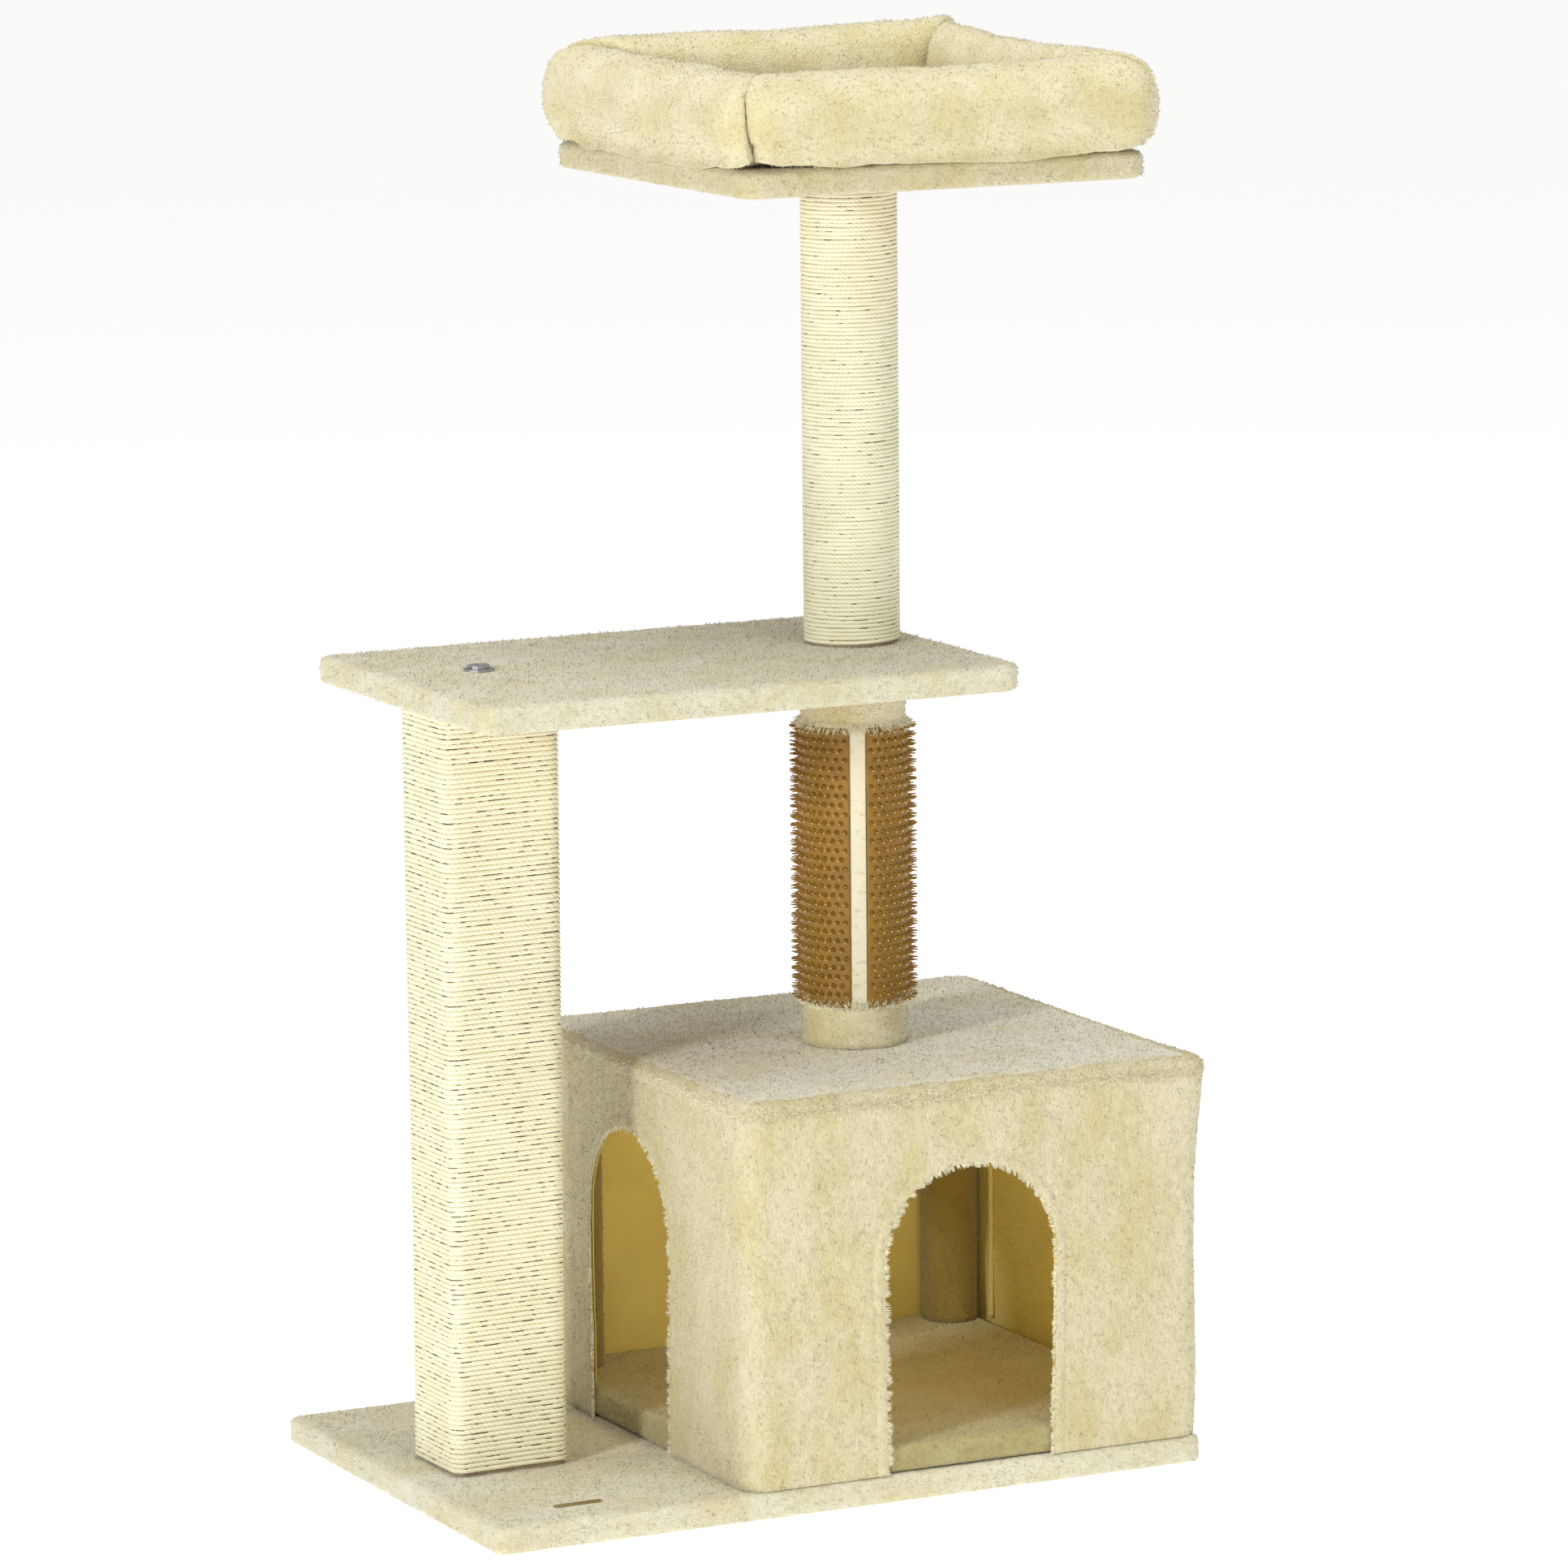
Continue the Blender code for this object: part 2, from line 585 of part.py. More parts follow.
def build_brush_post(finishes):
    """The lower round post: card tube, plush sleeve, brush sheet and the strip that closes it."""
    low = HOUSE_TOP + GAP
    height = SHELF_Z - GAP - low
    frame = make_frame("brush_post", (*POST_CENTRE, low))
    outline = tube_outline(BRUSH_TUBE_R, BRUSH_TUBE_R - TUBE_WALL, 0, height)
    make_piece("brush_post_core", turned(outline), frame, (0, 0, 0), finishes["card_tube"])
    round_plugs("brush_post", frame, BRUSH_TUBE_R - TUBE_WALL - GAP, height, finishes)
    sleeve_r = BRUSH_TUBE_R + GAP + PLUSH_T
    outline = tube_outline(sleeve_r, BRUSH_TUBE_R + GAP, 0, height)
    make_piece("brush_post_sleeve", turned(outline), frame, (0, 0, 0), finishes["plush"])
    inner = sleeve_r + GAP
    half_gap = STRIP_W / 2 / inner
    clearance = GAP / inner
    start = STRIP_FACING + half_gap + clearance
    sweep = math.tau - 2 * (half_gap + clearance)
    sheet_inner = inner / math.cos(sweep / BRUSH_COLUMNS / 2)
    sheet = brush_sheet(sheet_inner, sheet_inner + SHEET_T, BRUSH_LOW - low, BRUSH_HIGH - low, start, sweep)
    make_piece("groomer_sheet", sheet, frame, (0, 0, 0), finishes["brush_rubber"])
    angles = [STRIP_FACING + half_gap * side for side in (-1, -0.5, 0, 0.5, 1)]
    outline = [((inner + STRIP_T) * math.cos(angle), (inner + STRIP_T) * math.sin(angle)) for angle in angles]
    outline += [(inner * math.cos(angle), inner * math.sin(angle)) for angle in reversed(angles)]
    rings = [[(x, y, height) for x, y in outline] for height in (BRUSH_LOW - low, BRUSH_HIGH - low)]
    make_piece("groomer_strip", loft(rings), frame, (0, 0, 0), finishes["strip"])
    washer_at = -GAP - (HOUSE_TOP - roof_underside()) - GAP - WASHER_T
    washer("roof_washer", frame, (0, 0, washer_at), finishes)
    seat = washer_at - GAP
    socket_bolt("roof_bolt", frame, (0, 0, seat), PLUG_T + BOLT_PROUD - seat, finishes)


def roof_underside():
    """World height of the roof board's lower face."""
    return HOUSE_TOP - PLUSH_T - GAP - BOARD_T


def build_upper_post(finishes):
    """The upper round post: a card tube wound with rope, with a timber plug in each end."""
    low = SHELF_Z + PANEL_T + GAP
    height = BED_Z - GAP - low
    frame = make_frame("upper_post", (*POST_CENTRE, low))
    outline = tube_outline(UPPER_TUBE_R, UPPER_TUBE_R - TUBE_WALL, 0, height)
    make_piece("upper_post_core", turned(outline), frame, (0, 0, 0), finishes["card_tube"])
    round_plugs("upper_post", frame, UPPER_TUBE_R - TUBE_WALL - GAP, height, finishes)
    inner = UPPER_TUBE_R + GAP
    outline = tube_outline(inner + UPPER_ROPE_T, inner, 0, height)
    make_piece("upper_post_rope", turned(outline), frame, (0, 0, 0), finishes["rope"])


def bolster_section(height):
    """Points (inset from the outer face, height) round a superellipse section."""
    points = []
    for step in range(BOLSTER_POINTS):
        angle = math.tau * step / BOLSTER_POINTS
        reach = []
        for value in (math.cos(angle), math.sin(angle)):
            reach.append(math.copysign(abs(value) ** (2 / BOLSTER_ROUNDNESS), value))
        points.append((BOLSTER_W / 2 * (1 - reach[0]), height / 2 * (1 + reach[1])))
    return points


def bolster_bar(half_length, half_depth, height):
    """A stuffed bar along X on the -Y side: 45 degree mitred ends, a little thinner there."""
    section = bolster_section(height)
    rings = []
    for station in BOLSTER_STATIONS:
        scale = 1 - BOLSTER_PINCH * station**4
        ring = []
        for inset, level in section:
            depth = BOLSTER_W / 2 + (inset - BOLSTER_W / 2) * scale
            lift = height / 2 + (level - height / 2) * scale
            along = station * (half_length - depth - GAP)
            ring.append((along, depth - half_depth, lift))
        rings.append(ring)
    return loft(rings)


def build_bed(finishes):
    """The bed: a wrapped panel on the upper post with a four-part stuffed rim."""
    frame = make_frame("bed", (*POST_CENTRE, BED_Z))
    panel = wrapped_panel("bed", frame, BED_SIZE, BED_CORNER_R, finishes)
    bore(panel, "bed_bore", frame, (0, 0, 0), BOLT_HOLE_R, -OVERRUN, PANEL_T + OVERRUN)
    top_bolt("bed", frame, (0, 0, PANEL_T), finishes)
    half_x, half_y = BOLSTER_HALF
    sides = (
        ("front", half_x, half_y, 0),
        ("right", half_y, half_x, math.pi / 2),
        ("back", half_x, half_y, math.pi),
        ("left", half_y, half_x, -math.pi / 2),
    )
    for side, half_length, half_depth, turn in sides:
        bar = bolster_bar(half_length, half_depth, BOLSTER_HEIGHTS[side])
        at = (0, 0, PANEL_T + GAP)
        piece = make_piece(f"bed_bolster_{side}", bar, frame, at, finishes["stuffed_plush"])
        piece.rotation_euler.z = turn


def main():
    """Build the whole cat tree."""
    clear_scene()
    finishes = {name: make_finish(name) for name in FINISHES}
    build_base(finishes)
    build_house(finishes)
    build_column(finishes)
    build_brush_post(finishes)
    build_shelf(finishes)
    build_upper_post(finishes)
    build_bed(finishes)


main()
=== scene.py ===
import math

import bmesh
import bpy
import numpy as np
from mathutils import Matrix, Vector


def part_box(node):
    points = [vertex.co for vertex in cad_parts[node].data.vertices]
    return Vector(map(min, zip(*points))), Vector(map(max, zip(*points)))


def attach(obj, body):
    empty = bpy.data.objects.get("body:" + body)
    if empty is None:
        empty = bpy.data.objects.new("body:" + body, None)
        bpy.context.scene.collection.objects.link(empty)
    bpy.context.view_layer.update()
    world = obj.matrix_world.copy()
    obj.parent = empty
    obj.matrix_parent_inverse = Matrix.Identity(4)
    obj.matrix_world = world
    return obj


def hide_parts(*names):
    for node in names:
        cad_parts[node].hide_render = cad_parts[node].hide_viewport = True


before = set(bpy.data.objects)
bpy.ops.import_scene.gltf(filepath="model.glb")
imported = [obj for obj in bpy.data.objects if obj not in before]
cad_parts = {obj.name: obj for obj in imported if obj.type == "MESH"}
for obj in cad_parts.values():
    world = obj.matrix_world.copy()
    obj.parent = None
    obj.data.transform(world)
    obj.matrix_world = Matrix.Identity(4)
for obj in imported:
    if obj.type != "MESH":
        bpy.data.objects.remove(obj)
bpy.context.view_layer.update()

# ---------------------------------------------------------------------------------------------
# Camera, floor and light. A long lens stands to the left of the front and looks a little down on
# the bed. A key lamp on the left makes the column shade the house's side wall.
# ---------------------------------------------------------------------------------------------
CAMERA_AT = Vector((-2.6996, -5.5207, 1.5573))
CAMERA_LOOKS = Vector((0.43853, 0.88351, -0.16461)).normalized()
CAMERA_ROLL = -0.0097
CAMERA_LENS_MM = 184.5

camera = bpy.data.objects.new("camera", bpy.data.cameras.new("camera"))
bpy.context.collection.objects.link(camera)
bpy.context.scene.camera = camera
camera.data.sensor_width = 36.0
camera.data.lens = CAMERA_LENS_MM
camera.data.clip_end = 60.0
level_right = CAMERA_LOOKS.cross(Vector((0, 0, 1))).normalized()
level_up = level_right.cross(CAMERA_LOOKS)
camera_right = math.cos(CAMERA_ROLL) * level_right + math.sin(CAMERA_ROLL) * level_up
camera_up = math.cos(CAMERA_ROLL) * level_up - math.sin(CAMERA_ROLL) * level_right
camera_turn = Matrix((camera_right, camera_up, -CAMERA_LOOKS)).transposed()
camera.matrix_world = Matrix.Translation(CAMERA_AT) @ camera_turn.to_4x4()


def grid_quads(rows, columns, start=0, around=False):
    """Quads over a grid of rows x columns points, as index rows; around joins the last column to
    the first. Seen from outside, columns run to the right and rows run up."""
    index = start + np.arange(rows * columns).reshape(rows, columns)
    if around:
        index = np.concatenate((index, index[:, :1]), axis=1)
    corners = (index[:-1, :-1], index[:-1, 1:], index[1:, 1:], index[1:, :-1])
    return np.stack(corners, -1).reshape(-1, 4)


def put_mesh(name, points, faces, *finishes, smooth=True):
    """A piece at the origin from an array of points and one or more arrays of faces, each with the
    same number of corners in every row."""
    faces = faces if isinstance(faces, (list, tuple)) else [faces]
    mesh = bpy.data.meshes.new(name)
    mesh.vertices.add(len(points))
    mesh.vertices.foreach_set("co", np.asarray(points, np.float32).ravel())
    corners = np.concatenate([part.ravel() for part in faces]).astype(np.int32)
    counts = np.concatenate([np.full(len(part), part.shape[1]) for part in faces])
    mesh.loops.add(len(corners))
    mesh.loops.foreach_set("vertex_index", corners)
    mesh.polygons.add(len(counts))
    mesh.polygons.foreach_set("loop_start", (np.cumsum(counts) - counts).astype(np.int32))
    mesh.update(calc_edges=True)
    for finish in finishes:
        mesh.materials.append(finish)
    if smooth:
        mesh.shade_smooth()
    piece = bpy.data.objects.new(name, mesh)
    bpy.context.collection.objects.link(piece)
    return piece


def new_finish(name, colour, roughness, **sockets):
    """A Principled material with its plain values set: the material, its shader and its tree."""
    finish = bpy.data.materials.new(name)
    finish.use_nodes = True
    shader = finish.node_tree.nodes["Principled BSDF"]
    shader.inputs["Base Color"].default_value = (*colour, 1.0)
    shader.inputs["Roughness"].default_value = roughness
    for socket, value in sockets.items():
        shader.inputs[socket.replace("_", " ")].default_value = value
    return finish, shader, finish.node_tree


FLOOR_HALF = 25.0
FLOOR_LINES = 9
FLOOR_WHITE = (0.92, 0.92, 0.92)
FLOOR_GLOW = 0.61
floor_finish, floor_shader, _ = new_finish("studio_floor", FLOOR_WHITE, 0.95)
floor_shader.inputs["Emission Color"].default_value = (1, 1, 1, 1)
floor_shader.inputs["Emission Strength"].default_value = FLOOR_GLOW
floor_line = np.linspace(-FLOOR_HALF, FLOOR_HALF, FLOOR_LINES)
floor_y, floor_x = np.meshgrid(floor_line, floor_line, indexing="ij")
floor_points = np.stack((floor_x, floor_y, 0 * floor_x), -1).reshape(-1, 3)
floor_quads = grid_quads(FLOOR_LINES, FLOOR_LINES)
put_mesh("studio_floor", floor_points, floor_quads, floor_finish, smooth=False)


def soft_lamp(name, at, aim, size, power, colour, tall=None):
    """An area lamp at a point, aimed at another: square, or tall metres high."""
    lamp = bpy.data.objects.new(name, bpy.data.lights.new(name, "AREA"))
    lamp.data.shape = "RECTANGLE"
    lamp.data.size = size
    lamp.data.size_y = tall or size
    lamp.data.energy = power
    lamp.data.color = colour
    lamp.location = at
    lamp.rotation_euler = (Vector(aim) - Vector(at)).to_track_quat("-Z", "Y").to_euler()
    bpy.context.collection.objects.link(lamp)


MIDDLE = (0.0, 0.0, 0.5)
WARM_WHITE = (1.0, 0.99, 0.97)
TOP_WHITE = (1.0, 1.0, 0.98)
SKY_STRENGTH = 0.37
soft_lamp("key_lamp", (-3.6, -1.8, 1.5), MIDDLE, 0.5, 77.0, WARM_WHITE)
soft_lamp("front_lamp", (0.7, -3.9, 1.7), MIDDLE, 1.6, 20.0, WARM_WHITE)
soft_lamp("top_lamp", (0.1, -0.5, 3.6), MIDDLE, 3.0, 84.0, TOP_WHITE)
world = bpy.data.worlds.new("studio")
world.use_nodes = True
sky = world.node_tree.nodes["Background"]
sky.inputs["Color"].default_value = (*WARM_WHITE, 1)
sky.inputs["Strength"].default_value = SKY_STRENGTH
bpy.context.scene.world = world
bpy.context.scene.view_settings.view_transform = "Standard"


# ---------------------------------------------------------------------------------------------
# Base. A 60 x 40 cm particle board wrapped in short plush, pulled round the edges and stapled
# under it as a border. A small blank metal strip is pinned near the front left corner.
# ---------------------------------------------------------------------------------------------
LATTICE = 32


def lattice_noise(points, size, seed):
    """Smooth noise from -1 to 1. Random values stand on a lattice with cells of the given size, and
    a point blends its cell's eight corners by the smooth step 3t^2 - 2t^3 along each axis."""
    lattice = np.random.default_rng(seed).uniform(-1, 1, (LATTICE, LATTICE, LATTICE))
    place = np.asarray(points) / size
    cell = np.floor(place).astype(int)
    share = place - cell
    share = share * share * (3 - 2 * share)
    total = np.zeros(len(place))
    for corner in np.ndindex(2, 2, 2):
        weight = np.where(np.array(corner, bool), share, 1 - share).prod(axis=1)
        total += weight * lattice[tuple(((cell + corner) % LATTICE).T)]
    return total


def rulings(low, high, marks, cell):
    """Coordinates from low to high: the marks' distances in from both ends, and steps of about one
    cell between the innermost marks."""
    marks = np.asarray(marks)
    steps = max(2, round((high - low - 2 * marks[-1]) / cell))
    inner = np.linspace(low + marks[-1], high - marks[-1], steps)
    return np.unique(np.concatenate((low + marks, inner, high - marks)).round(7))


def box_skin(xs, ys, zs):
    """The surface of a box ruled by three lists of coordinates, as points and outward quads."""
    points, quads, start = [], [], 0
    for axis, (first, second) in enumerate(((ys, zs), (zs, xs), (xs, ys))):
        for end, turned in ((-1, 1), (0, -1)):
            a, b = np.meshgrid(first, second, indexing="ij")
            side = np.empty((*a.shape, 3))
            side[..., axis] = (xs, ys, zs)[axis][end]
            side[..., (axis + 1) % 3] = a
            side[..., (axis + 2) % 3] = b
            quads.append(grid_quads(*a.shape, start)[:, ::-turned])
            points.append(side.reshape(-1, 3))
            start += a.size
    merged, where = np.unique(np.concatenate(points).round(6), axis=0, return_inverse=True)
    return merged, where.reshape(-1)[np.concatenate(quads)]


def round_box(points, low, high, corner, edge, rise, round_under):
    """Pull a box's surface onto its round corners and edges. In plan, the square beyond a corner's
    centre shrinks radially onto the circle of radius corner; in section, the rectangle edge wide
    and rise high at a rim shrinks onto its quarter ellipse. round_under does the lower rim too."""
    centre, half = (low + high) / 2, (high - low) / 2
    place = points - centre
    anchor = np.clip(place[:, :2], corner - half[:2], half[:2] - corner)
    offset = place[:, :2] - anchor
    square = np.abs(offset).max(axis=1)
    way = offset / np.maximum(np.hypot(*offset.T), 1e-12)[:, None]
    height = np.abs(place[:, 2]) if round_under else place[:, 2]
    outward = np.maximum(1 - (corner - square) / edge, 0)
    upward = np.maximum(1 - (half[2] - height) / rise, 0)
    shrink = np.maximum(outward, upward) / np.maximum(np.hypot(outward, upward), 1e-12)
    reach = np.where(outward > 0, corner - edge + edge * outward * shrink, square)
    lift = np.where(upward > 0, half[2] - rise + rise * upward * shrink, height)
    side = np.sign(place[:, 2]) if round_under else 1
    return np.column_stack((anchor + way * reach[:, None], side * lift)) + centre


def points_of(piece):
    """A piece's vertices as an array."""
    points = np.empty(len(piece.data.vertices) * 3, np.float32)
    piece.data.vertices.foreach_get("co", points)
    return points.reshape(-1, 3).astype(float)


def normals_of(piece):
    """A piece's vertex normals as an array."""
    normals = np.empty(len(piece.data.vertices) * 3, np.float32)
    piece.data.vertex_normals.foreach_get("vector", normals)
    return normals.reshape(-1, 3).astype(float)


def move_points(piece, points):
    """Put new places into a piece's vertices."""
    piece.data.vertices.foreach_set("co", np.asarray(points, np.float32).ravel())
    piece.data.update()


PATCH_SIZE = 0.030
CLUMP_SIZE = 0.007


def brush_nap(piece, depth, seed, keep_flat=None):
    """Raise and lower a plush skin along its normals, by hand-brushed patches and by the finer clumps
    in them, depth at most. keep_flat is a mask of vertices that stay."""
    points = points_of(piece)
    patches = lattice_noise(points, PATCH_SIZE, seed)
    height = 0.6 * patches + 0.4 * lattice_noise(points, CLUMP_SIZE, seed + 1)
    if keep_flat is not None:
        height[keep_flat] = 0
    move_points(piece, points + normals_of(piece) * (depth * height)[:, None])


def give_thickness(piece, thickness, even=True):
    """Give a skin its cloth's thickness, inwards. The inside takes the last finish. even keeps the
    thickness up where the skin turns a corner."""
    wall = piece.modifiers.new("cloth", "SOLIDIFY")
    wall.thickness = thickness
    wall.offset = -1
    wall.use_even_offset = even
    wall.material_offset = len(piece.data.materials) - 1
    wall.material_offset_rim = 0


PANEL_MARKS = (0.0, 0.0015, 0.003, 0.0045, 0.006, 0.008, 0.010, 0.0125, 0.015, 0.018)
PANEL_CELL = 0.0055
SIDE_CELL = 0.0018
FOLD_UNDER = 0.018
CLOTH_T = 0.0026
PANEL_NAP = 0.0006
TOUCH = 1e-5


def panel_skin(name, node, corner, edge, finishes, seed, window=FOLD_UNDER, rise=0.0045):
    """A plush cover on a board: the node's box with round corners and edges, less the window that
    the folded border leaves in the underside, that far in from each edge. A window of 0 leaves the
    whole underside open, for a cap that is sewn on along its lower rim."""
    low, high = (np.array(side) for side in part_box(node))
    xs = rulings(low[0], high[0], PANEL_MARKS, PANEL_CELL)
    ys = rulings(low[1], high[1], PANEL_MARKS, PANEL_CELL)
    zs = np.linspace(low[2], high[2], round((high[2] - low[2]) / SIDE_CELL))
    points, quads = box_skin(xs, ys, zs)
    margin = np.minimum(points[:, :2] - low[:2], high[:2] - points[:, :2]).min(axis=1)
    in_window = (points[:, 2] <= low[2] + TOUCH) & (margin > window - TOUCH)
    quads = quads[~in_window[quads].all(axis=1)]
    used, where = np.unique(quads, return_inverse=True)
    points = round_box(points[used], low, high, corner, edge, rise, window > 0)
    piece = put_mesh(name, points, where.reshape(-1, 4), *finishes)
    brush_nap(piece, PANEL_NAP, seed, keep_flat=points[:, 2] < low[2] + 0.001)
    give_thickness(piece, CLOTH_T)
    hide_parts(node)
    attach(piece, "root")
    return piece


def object_places(tree, stretch=(1, 1, 1)):
    """The piece's own coordinates, in metres, stretched along an axis."""
    places = tree.nodes.new("ShaderNodeTexCoord")
    mapping = tree.nodes.new("ShaderNodeMapping")
    mapping.inputs["Scale"].default_value = stretch
    tree.links.new(places.outputs["Object"], mapping.inputs["Vector"])
    return mapping.outputs["Vector"]


def link_noise(tree, scale, detail, stretch=(1, 1, 1)):
    """Noise with so many features in a metre."""
    noise = tree.nodes.new("ShaderNodeTexNoise")
    noise.inputs["Scale"].default_value = scale
    noise.inputs["Detail"].default_value = detail
    tree.links.new(object_places(tree, stretch), noise.inputs["Vector"])
    return noise.outputs["Fac"]


def link_ramp(tree, factor, stops):
    """A colour ramp driven by a factor; stops are (position, colour)."""
    ramp = tree.nodes.new("ShaderNodeValToRGB")
    while len(ramp.color_ramp.elements) < len(stops):
        ramp.color_ramp.elements.new(0.5)
    for element, (position, colour) in zip(ramp.color_ramp.elements, stops):
        element.position = position
        element.color = (*colour, 1.0)
    tree.links.new(factor, ramp.inputs["Fac"])
    return ramp.outputs["Color"]


def link_math(tree, operation, *values):
    """A maths node on numbers and sockets."""
    node = tree.nodes.new("ShaderNodeMath")
    node.operation = operation
    for socket, value in zip(node.inputs, values):
        if isinstance(value, (int, float)):
            socket.default_value = value
        else:
            tree.links.new(value, socket)
    return node.outputs["Value"]


def link_mix(tree, kind, share, first, second):
    """Mix two colours, each a colour or a socket; share is a number or a socket."""
    mix = tree.nodes.new("ShaderNodeMix")
    mix.data_type = "RGBA"
    mix.blend_type = kind
    colour_inputs = [socket for socket in mix.inputs if socket.type == "RGBA"]
    if isinstance(share, (int, float)):
        mix.inputs["Factor"].default_value = share
    else:
        tree.links.new(share, mix.inputs["Factor"])
    for socket, value in zip(colour_inputs, (first, second)):
        if isinstance(value, tuple):
            socket.default_value = (*value, 1.0)
        else:
            tree.links.new(value, socket)
    return next(socket for socket in mix.outputs if socket.type == "RGBA")


def link_bump(tree, shader, height, strength, distance):
    """Relief from a height between 0 and 1, distance metres deep."""
    bump = tree.nodes.new("ShaderNodeBump")
    bump.inputs["Strength"].default_value = strength
    bump.inputs["Distance"].default_value = distance
    tree.links.new(height, bump.inputs["Height"])
    tree.links.new(bump.outputs["Normal"], shader.inputs["Normal"])


def scaled(colour, by):
    """A colour made lighter or darker by a factor."""
    return tuple(channel * by for channel in colour)


SHEEN_TINT = (1.0, 0.98, 0.90, 1.0)
UNTINTED = (1, 1, 1)


def plush(name, colour, nap=(1, 1, 1), shade_between=(0.80, 0.77, 0.66)):
    """Short plush: patches where the pile lies one way or the other, whose darker and lighter tones are
    painted shade and painted sheen of the pile; clumps some millimetres wide with painted shade between
    them and between the fibres' tips, in the tone shade_between; and fibre-fine relief. nap stretches
    the clumps."""
    finish, shader, tree = new_finish(
        name, colour, 0.95, Sheen_Weight=0.45, Sheen_Roughness=0.5, Specular_IOR_Level=0.1
    )
    shader.inputs["Sheen Tint"].default_value = SHEEN_TINT
    patches = link_noise(tree, 26, 4, nap)
    # The pile's two ways: the darker, warmer tone is painted shade, the lighter, greyer one painted sheen.
    brushed_down_shade = (colour[0] * 0.95, colour[1] * 0.92, colour[2] * 0.81)
    brushed_up_sheen = (colour[0] * 1.04, colour[1] * 1.06, colour[2] * 1.14)
    tone = link_ramp(tree, patches, ((0.36, brushed_down_shade), (0.50, colour), (0.64, brushed_up_sheen)))
    # Painted shade between the clumps, in the tone shade_between.
    clumps = link_ramp(tree, link_noise(tree, 210, 3, nap), ((0.28, shade_between), (0.60, UNTINTED)))
    tone = link_mix(tree, "MULTIPLY", 0.45, tone, clumps)
    fibres = link_noise(tree, 620, 3, nap)
    # Painted shade between the fibres' tips.
    tips = link_ramp(tree, fibres, ((0.34, shade_between), (0.58, UNTINTED)))
    tone = link_mix(tree, "MULTIPLY", 0.50, tone, tips)
    tree.links.new(tone, shader.inputs["Base Color"])
    link_bump(tree, shader, fibres, 0.9, 0.0016)
    return finish


def tuft_shades(name, colour, painted_light=0.0):
    """Four plain tones of one plush, from its shaded roots to its brushed tips. painted_light is painted
    light: the tones emit that much light, in place of the light that thin loose fibres let through."""
    shades = []
    for number, by in enumerate((0.84, 0.92, 0.99, 1.06)):
        finish, shader, _ = new_finish(
            f"{name}_{number}", scaled(colour, by), 0.9, Sheen_Weight=0.45, Specular_IOR_Level=0.1
        )
        shader.inputs["Sheen Tint"].default_value = SHEEN_TINT
        shader.inputs["Emission Color"].default_value = (*scaled(colour, by), 1.0)
        shader.inputs["Emission Strength"].default_value = painted_light
        shades.append(finish)
    return shades


ROOT_DEPTH = 0.0005
TONE_PATCH = 0.025


def tufts(name, roots, normals, leans, lengths, widths, shades, seed):
    """Closed three-sided spikes, one on each root: three corners round the root, the tip at root +
    length * lean. A spike is shaded like the pile it stands in, by its root's normal turned a
    little at random, and takes its tone from patches about 25 mm wide."""
    rng = np.random.default_rng(seed)
    count = len(roots)
    leans = leans / np.linalg.norm(leans, axis=1)[:, None]
    across = np.cross(leans, rng.normal(size=(count, 3)))
    across /= np.linalg.norm(across, axis=1)[:, None]
    third = np.cross(leans, across)
    points = np.empty((count, 4, 3))
    for corner in range(3):
        angle = corner * math.tau / 3
        ring = math.cos(angle) * across + math.sin(angle) * third
        points[:, corner] = roots - normals * ROOT_DEPTH + ring * widths[:, None] / 2
    points[:, 3] = roots + leans * lengths[:, None]
    pattern = np.array(((0, 2, 1), (0, 1, 3), (1, 2, 3), (2, 0, 3)))
    faces = (np.arange(count)[:, None, None] * 4 + pattern).reshape(-1, 3)
    piece = put_mesh(name, points.reshape(-1, 3), faces, *shades)
    tone = 1.5 + 1.2 * lattice_noise(roots, TONE_PATCH, seed + 7) + rng.uniform(-1.3, 1.3, count)
    tone = np.clip(np.round(tone), 0, len(shades) - 1).astype(np.int32)
    piece.data.polygons.foreach_set("material_index", np.repeat(tone, 4))
    soft = normals + rng.normal(size=(count, 3)) * 0.38
    soft /= np.linalg.norm(soft, axis=1)[:, None]
    piece.data.normals_split_custom_set_from_vertices(np.repeat(soft, 4, axis=0).tolist())
    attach(piece, "root")
    return piece


PILE_LENGTH = 0.0024
PILE_WIDTH = 0.0009
PILE_DENSITY = 80000


def pile_on(piece, shades, nap, seed, keep=None, density=PILE_DENSITY):
    """Tufts on a skin's outside: roots are random points on its faces, by area, and each tuft runs
    along the normal, the nap's direction and a random part. keep(roots) masks the roots."""
    mesh = piece.data
    mesh.calc_loop_triangles()
    triangles = np.empty(len(mesh.loop_triangles) * 3, np.int32)
    mesh.loop_triangles.foreach_get("vertices", triangles)
    triangles = triangles.reshape(-1, 3)
    points, normals = points_of(piece), normals_of(piece)
    a, b, c = (points[triangles[:, corner]] for corner in range(3))
    areas = np.linalg.norm(np.cross(b - a, c - a), axis=1) / 2
    rng = np.random.default_rng(seed)
    count = int(areas.sum() * density)
    chosen = rng.choice(len(areas), count, p=areas / areas.sum())
    shares = rng.dirichlet((1, 1, 1), count)
    roots = (points[triangles[chosen]] * shares[:, :, None]).sum(axis=1)
    up = (normals[triangles[chosen]] * shares[:, :, None]).sum(axis=1)
    up /= np.linalg.norm(up, axis=1)[:, None]
    if keep is not None:
        kept = keep(roots)
        roots, up = roots[kept], up[kept]
    count = len(roots)
    leans = 0.8 * up + np.array(nap) + rng.normal(size=(count, 3)) * 0.45
    buried = np.minimum((leans * up).sum(axis=1) - 0.30, 0)
    leans -= up * buried[:, None]
    lengths = PILE_LENGTH * rng.uniform(0.6, 1.15, count)
    widths = PILE_WIDTH * rng.uniform(0.7, 1.3, count)
    hair = tufts(f"{piece.name}_pile", roots, up, leans, lengths, widths, shades, seed + 1)
    return hair


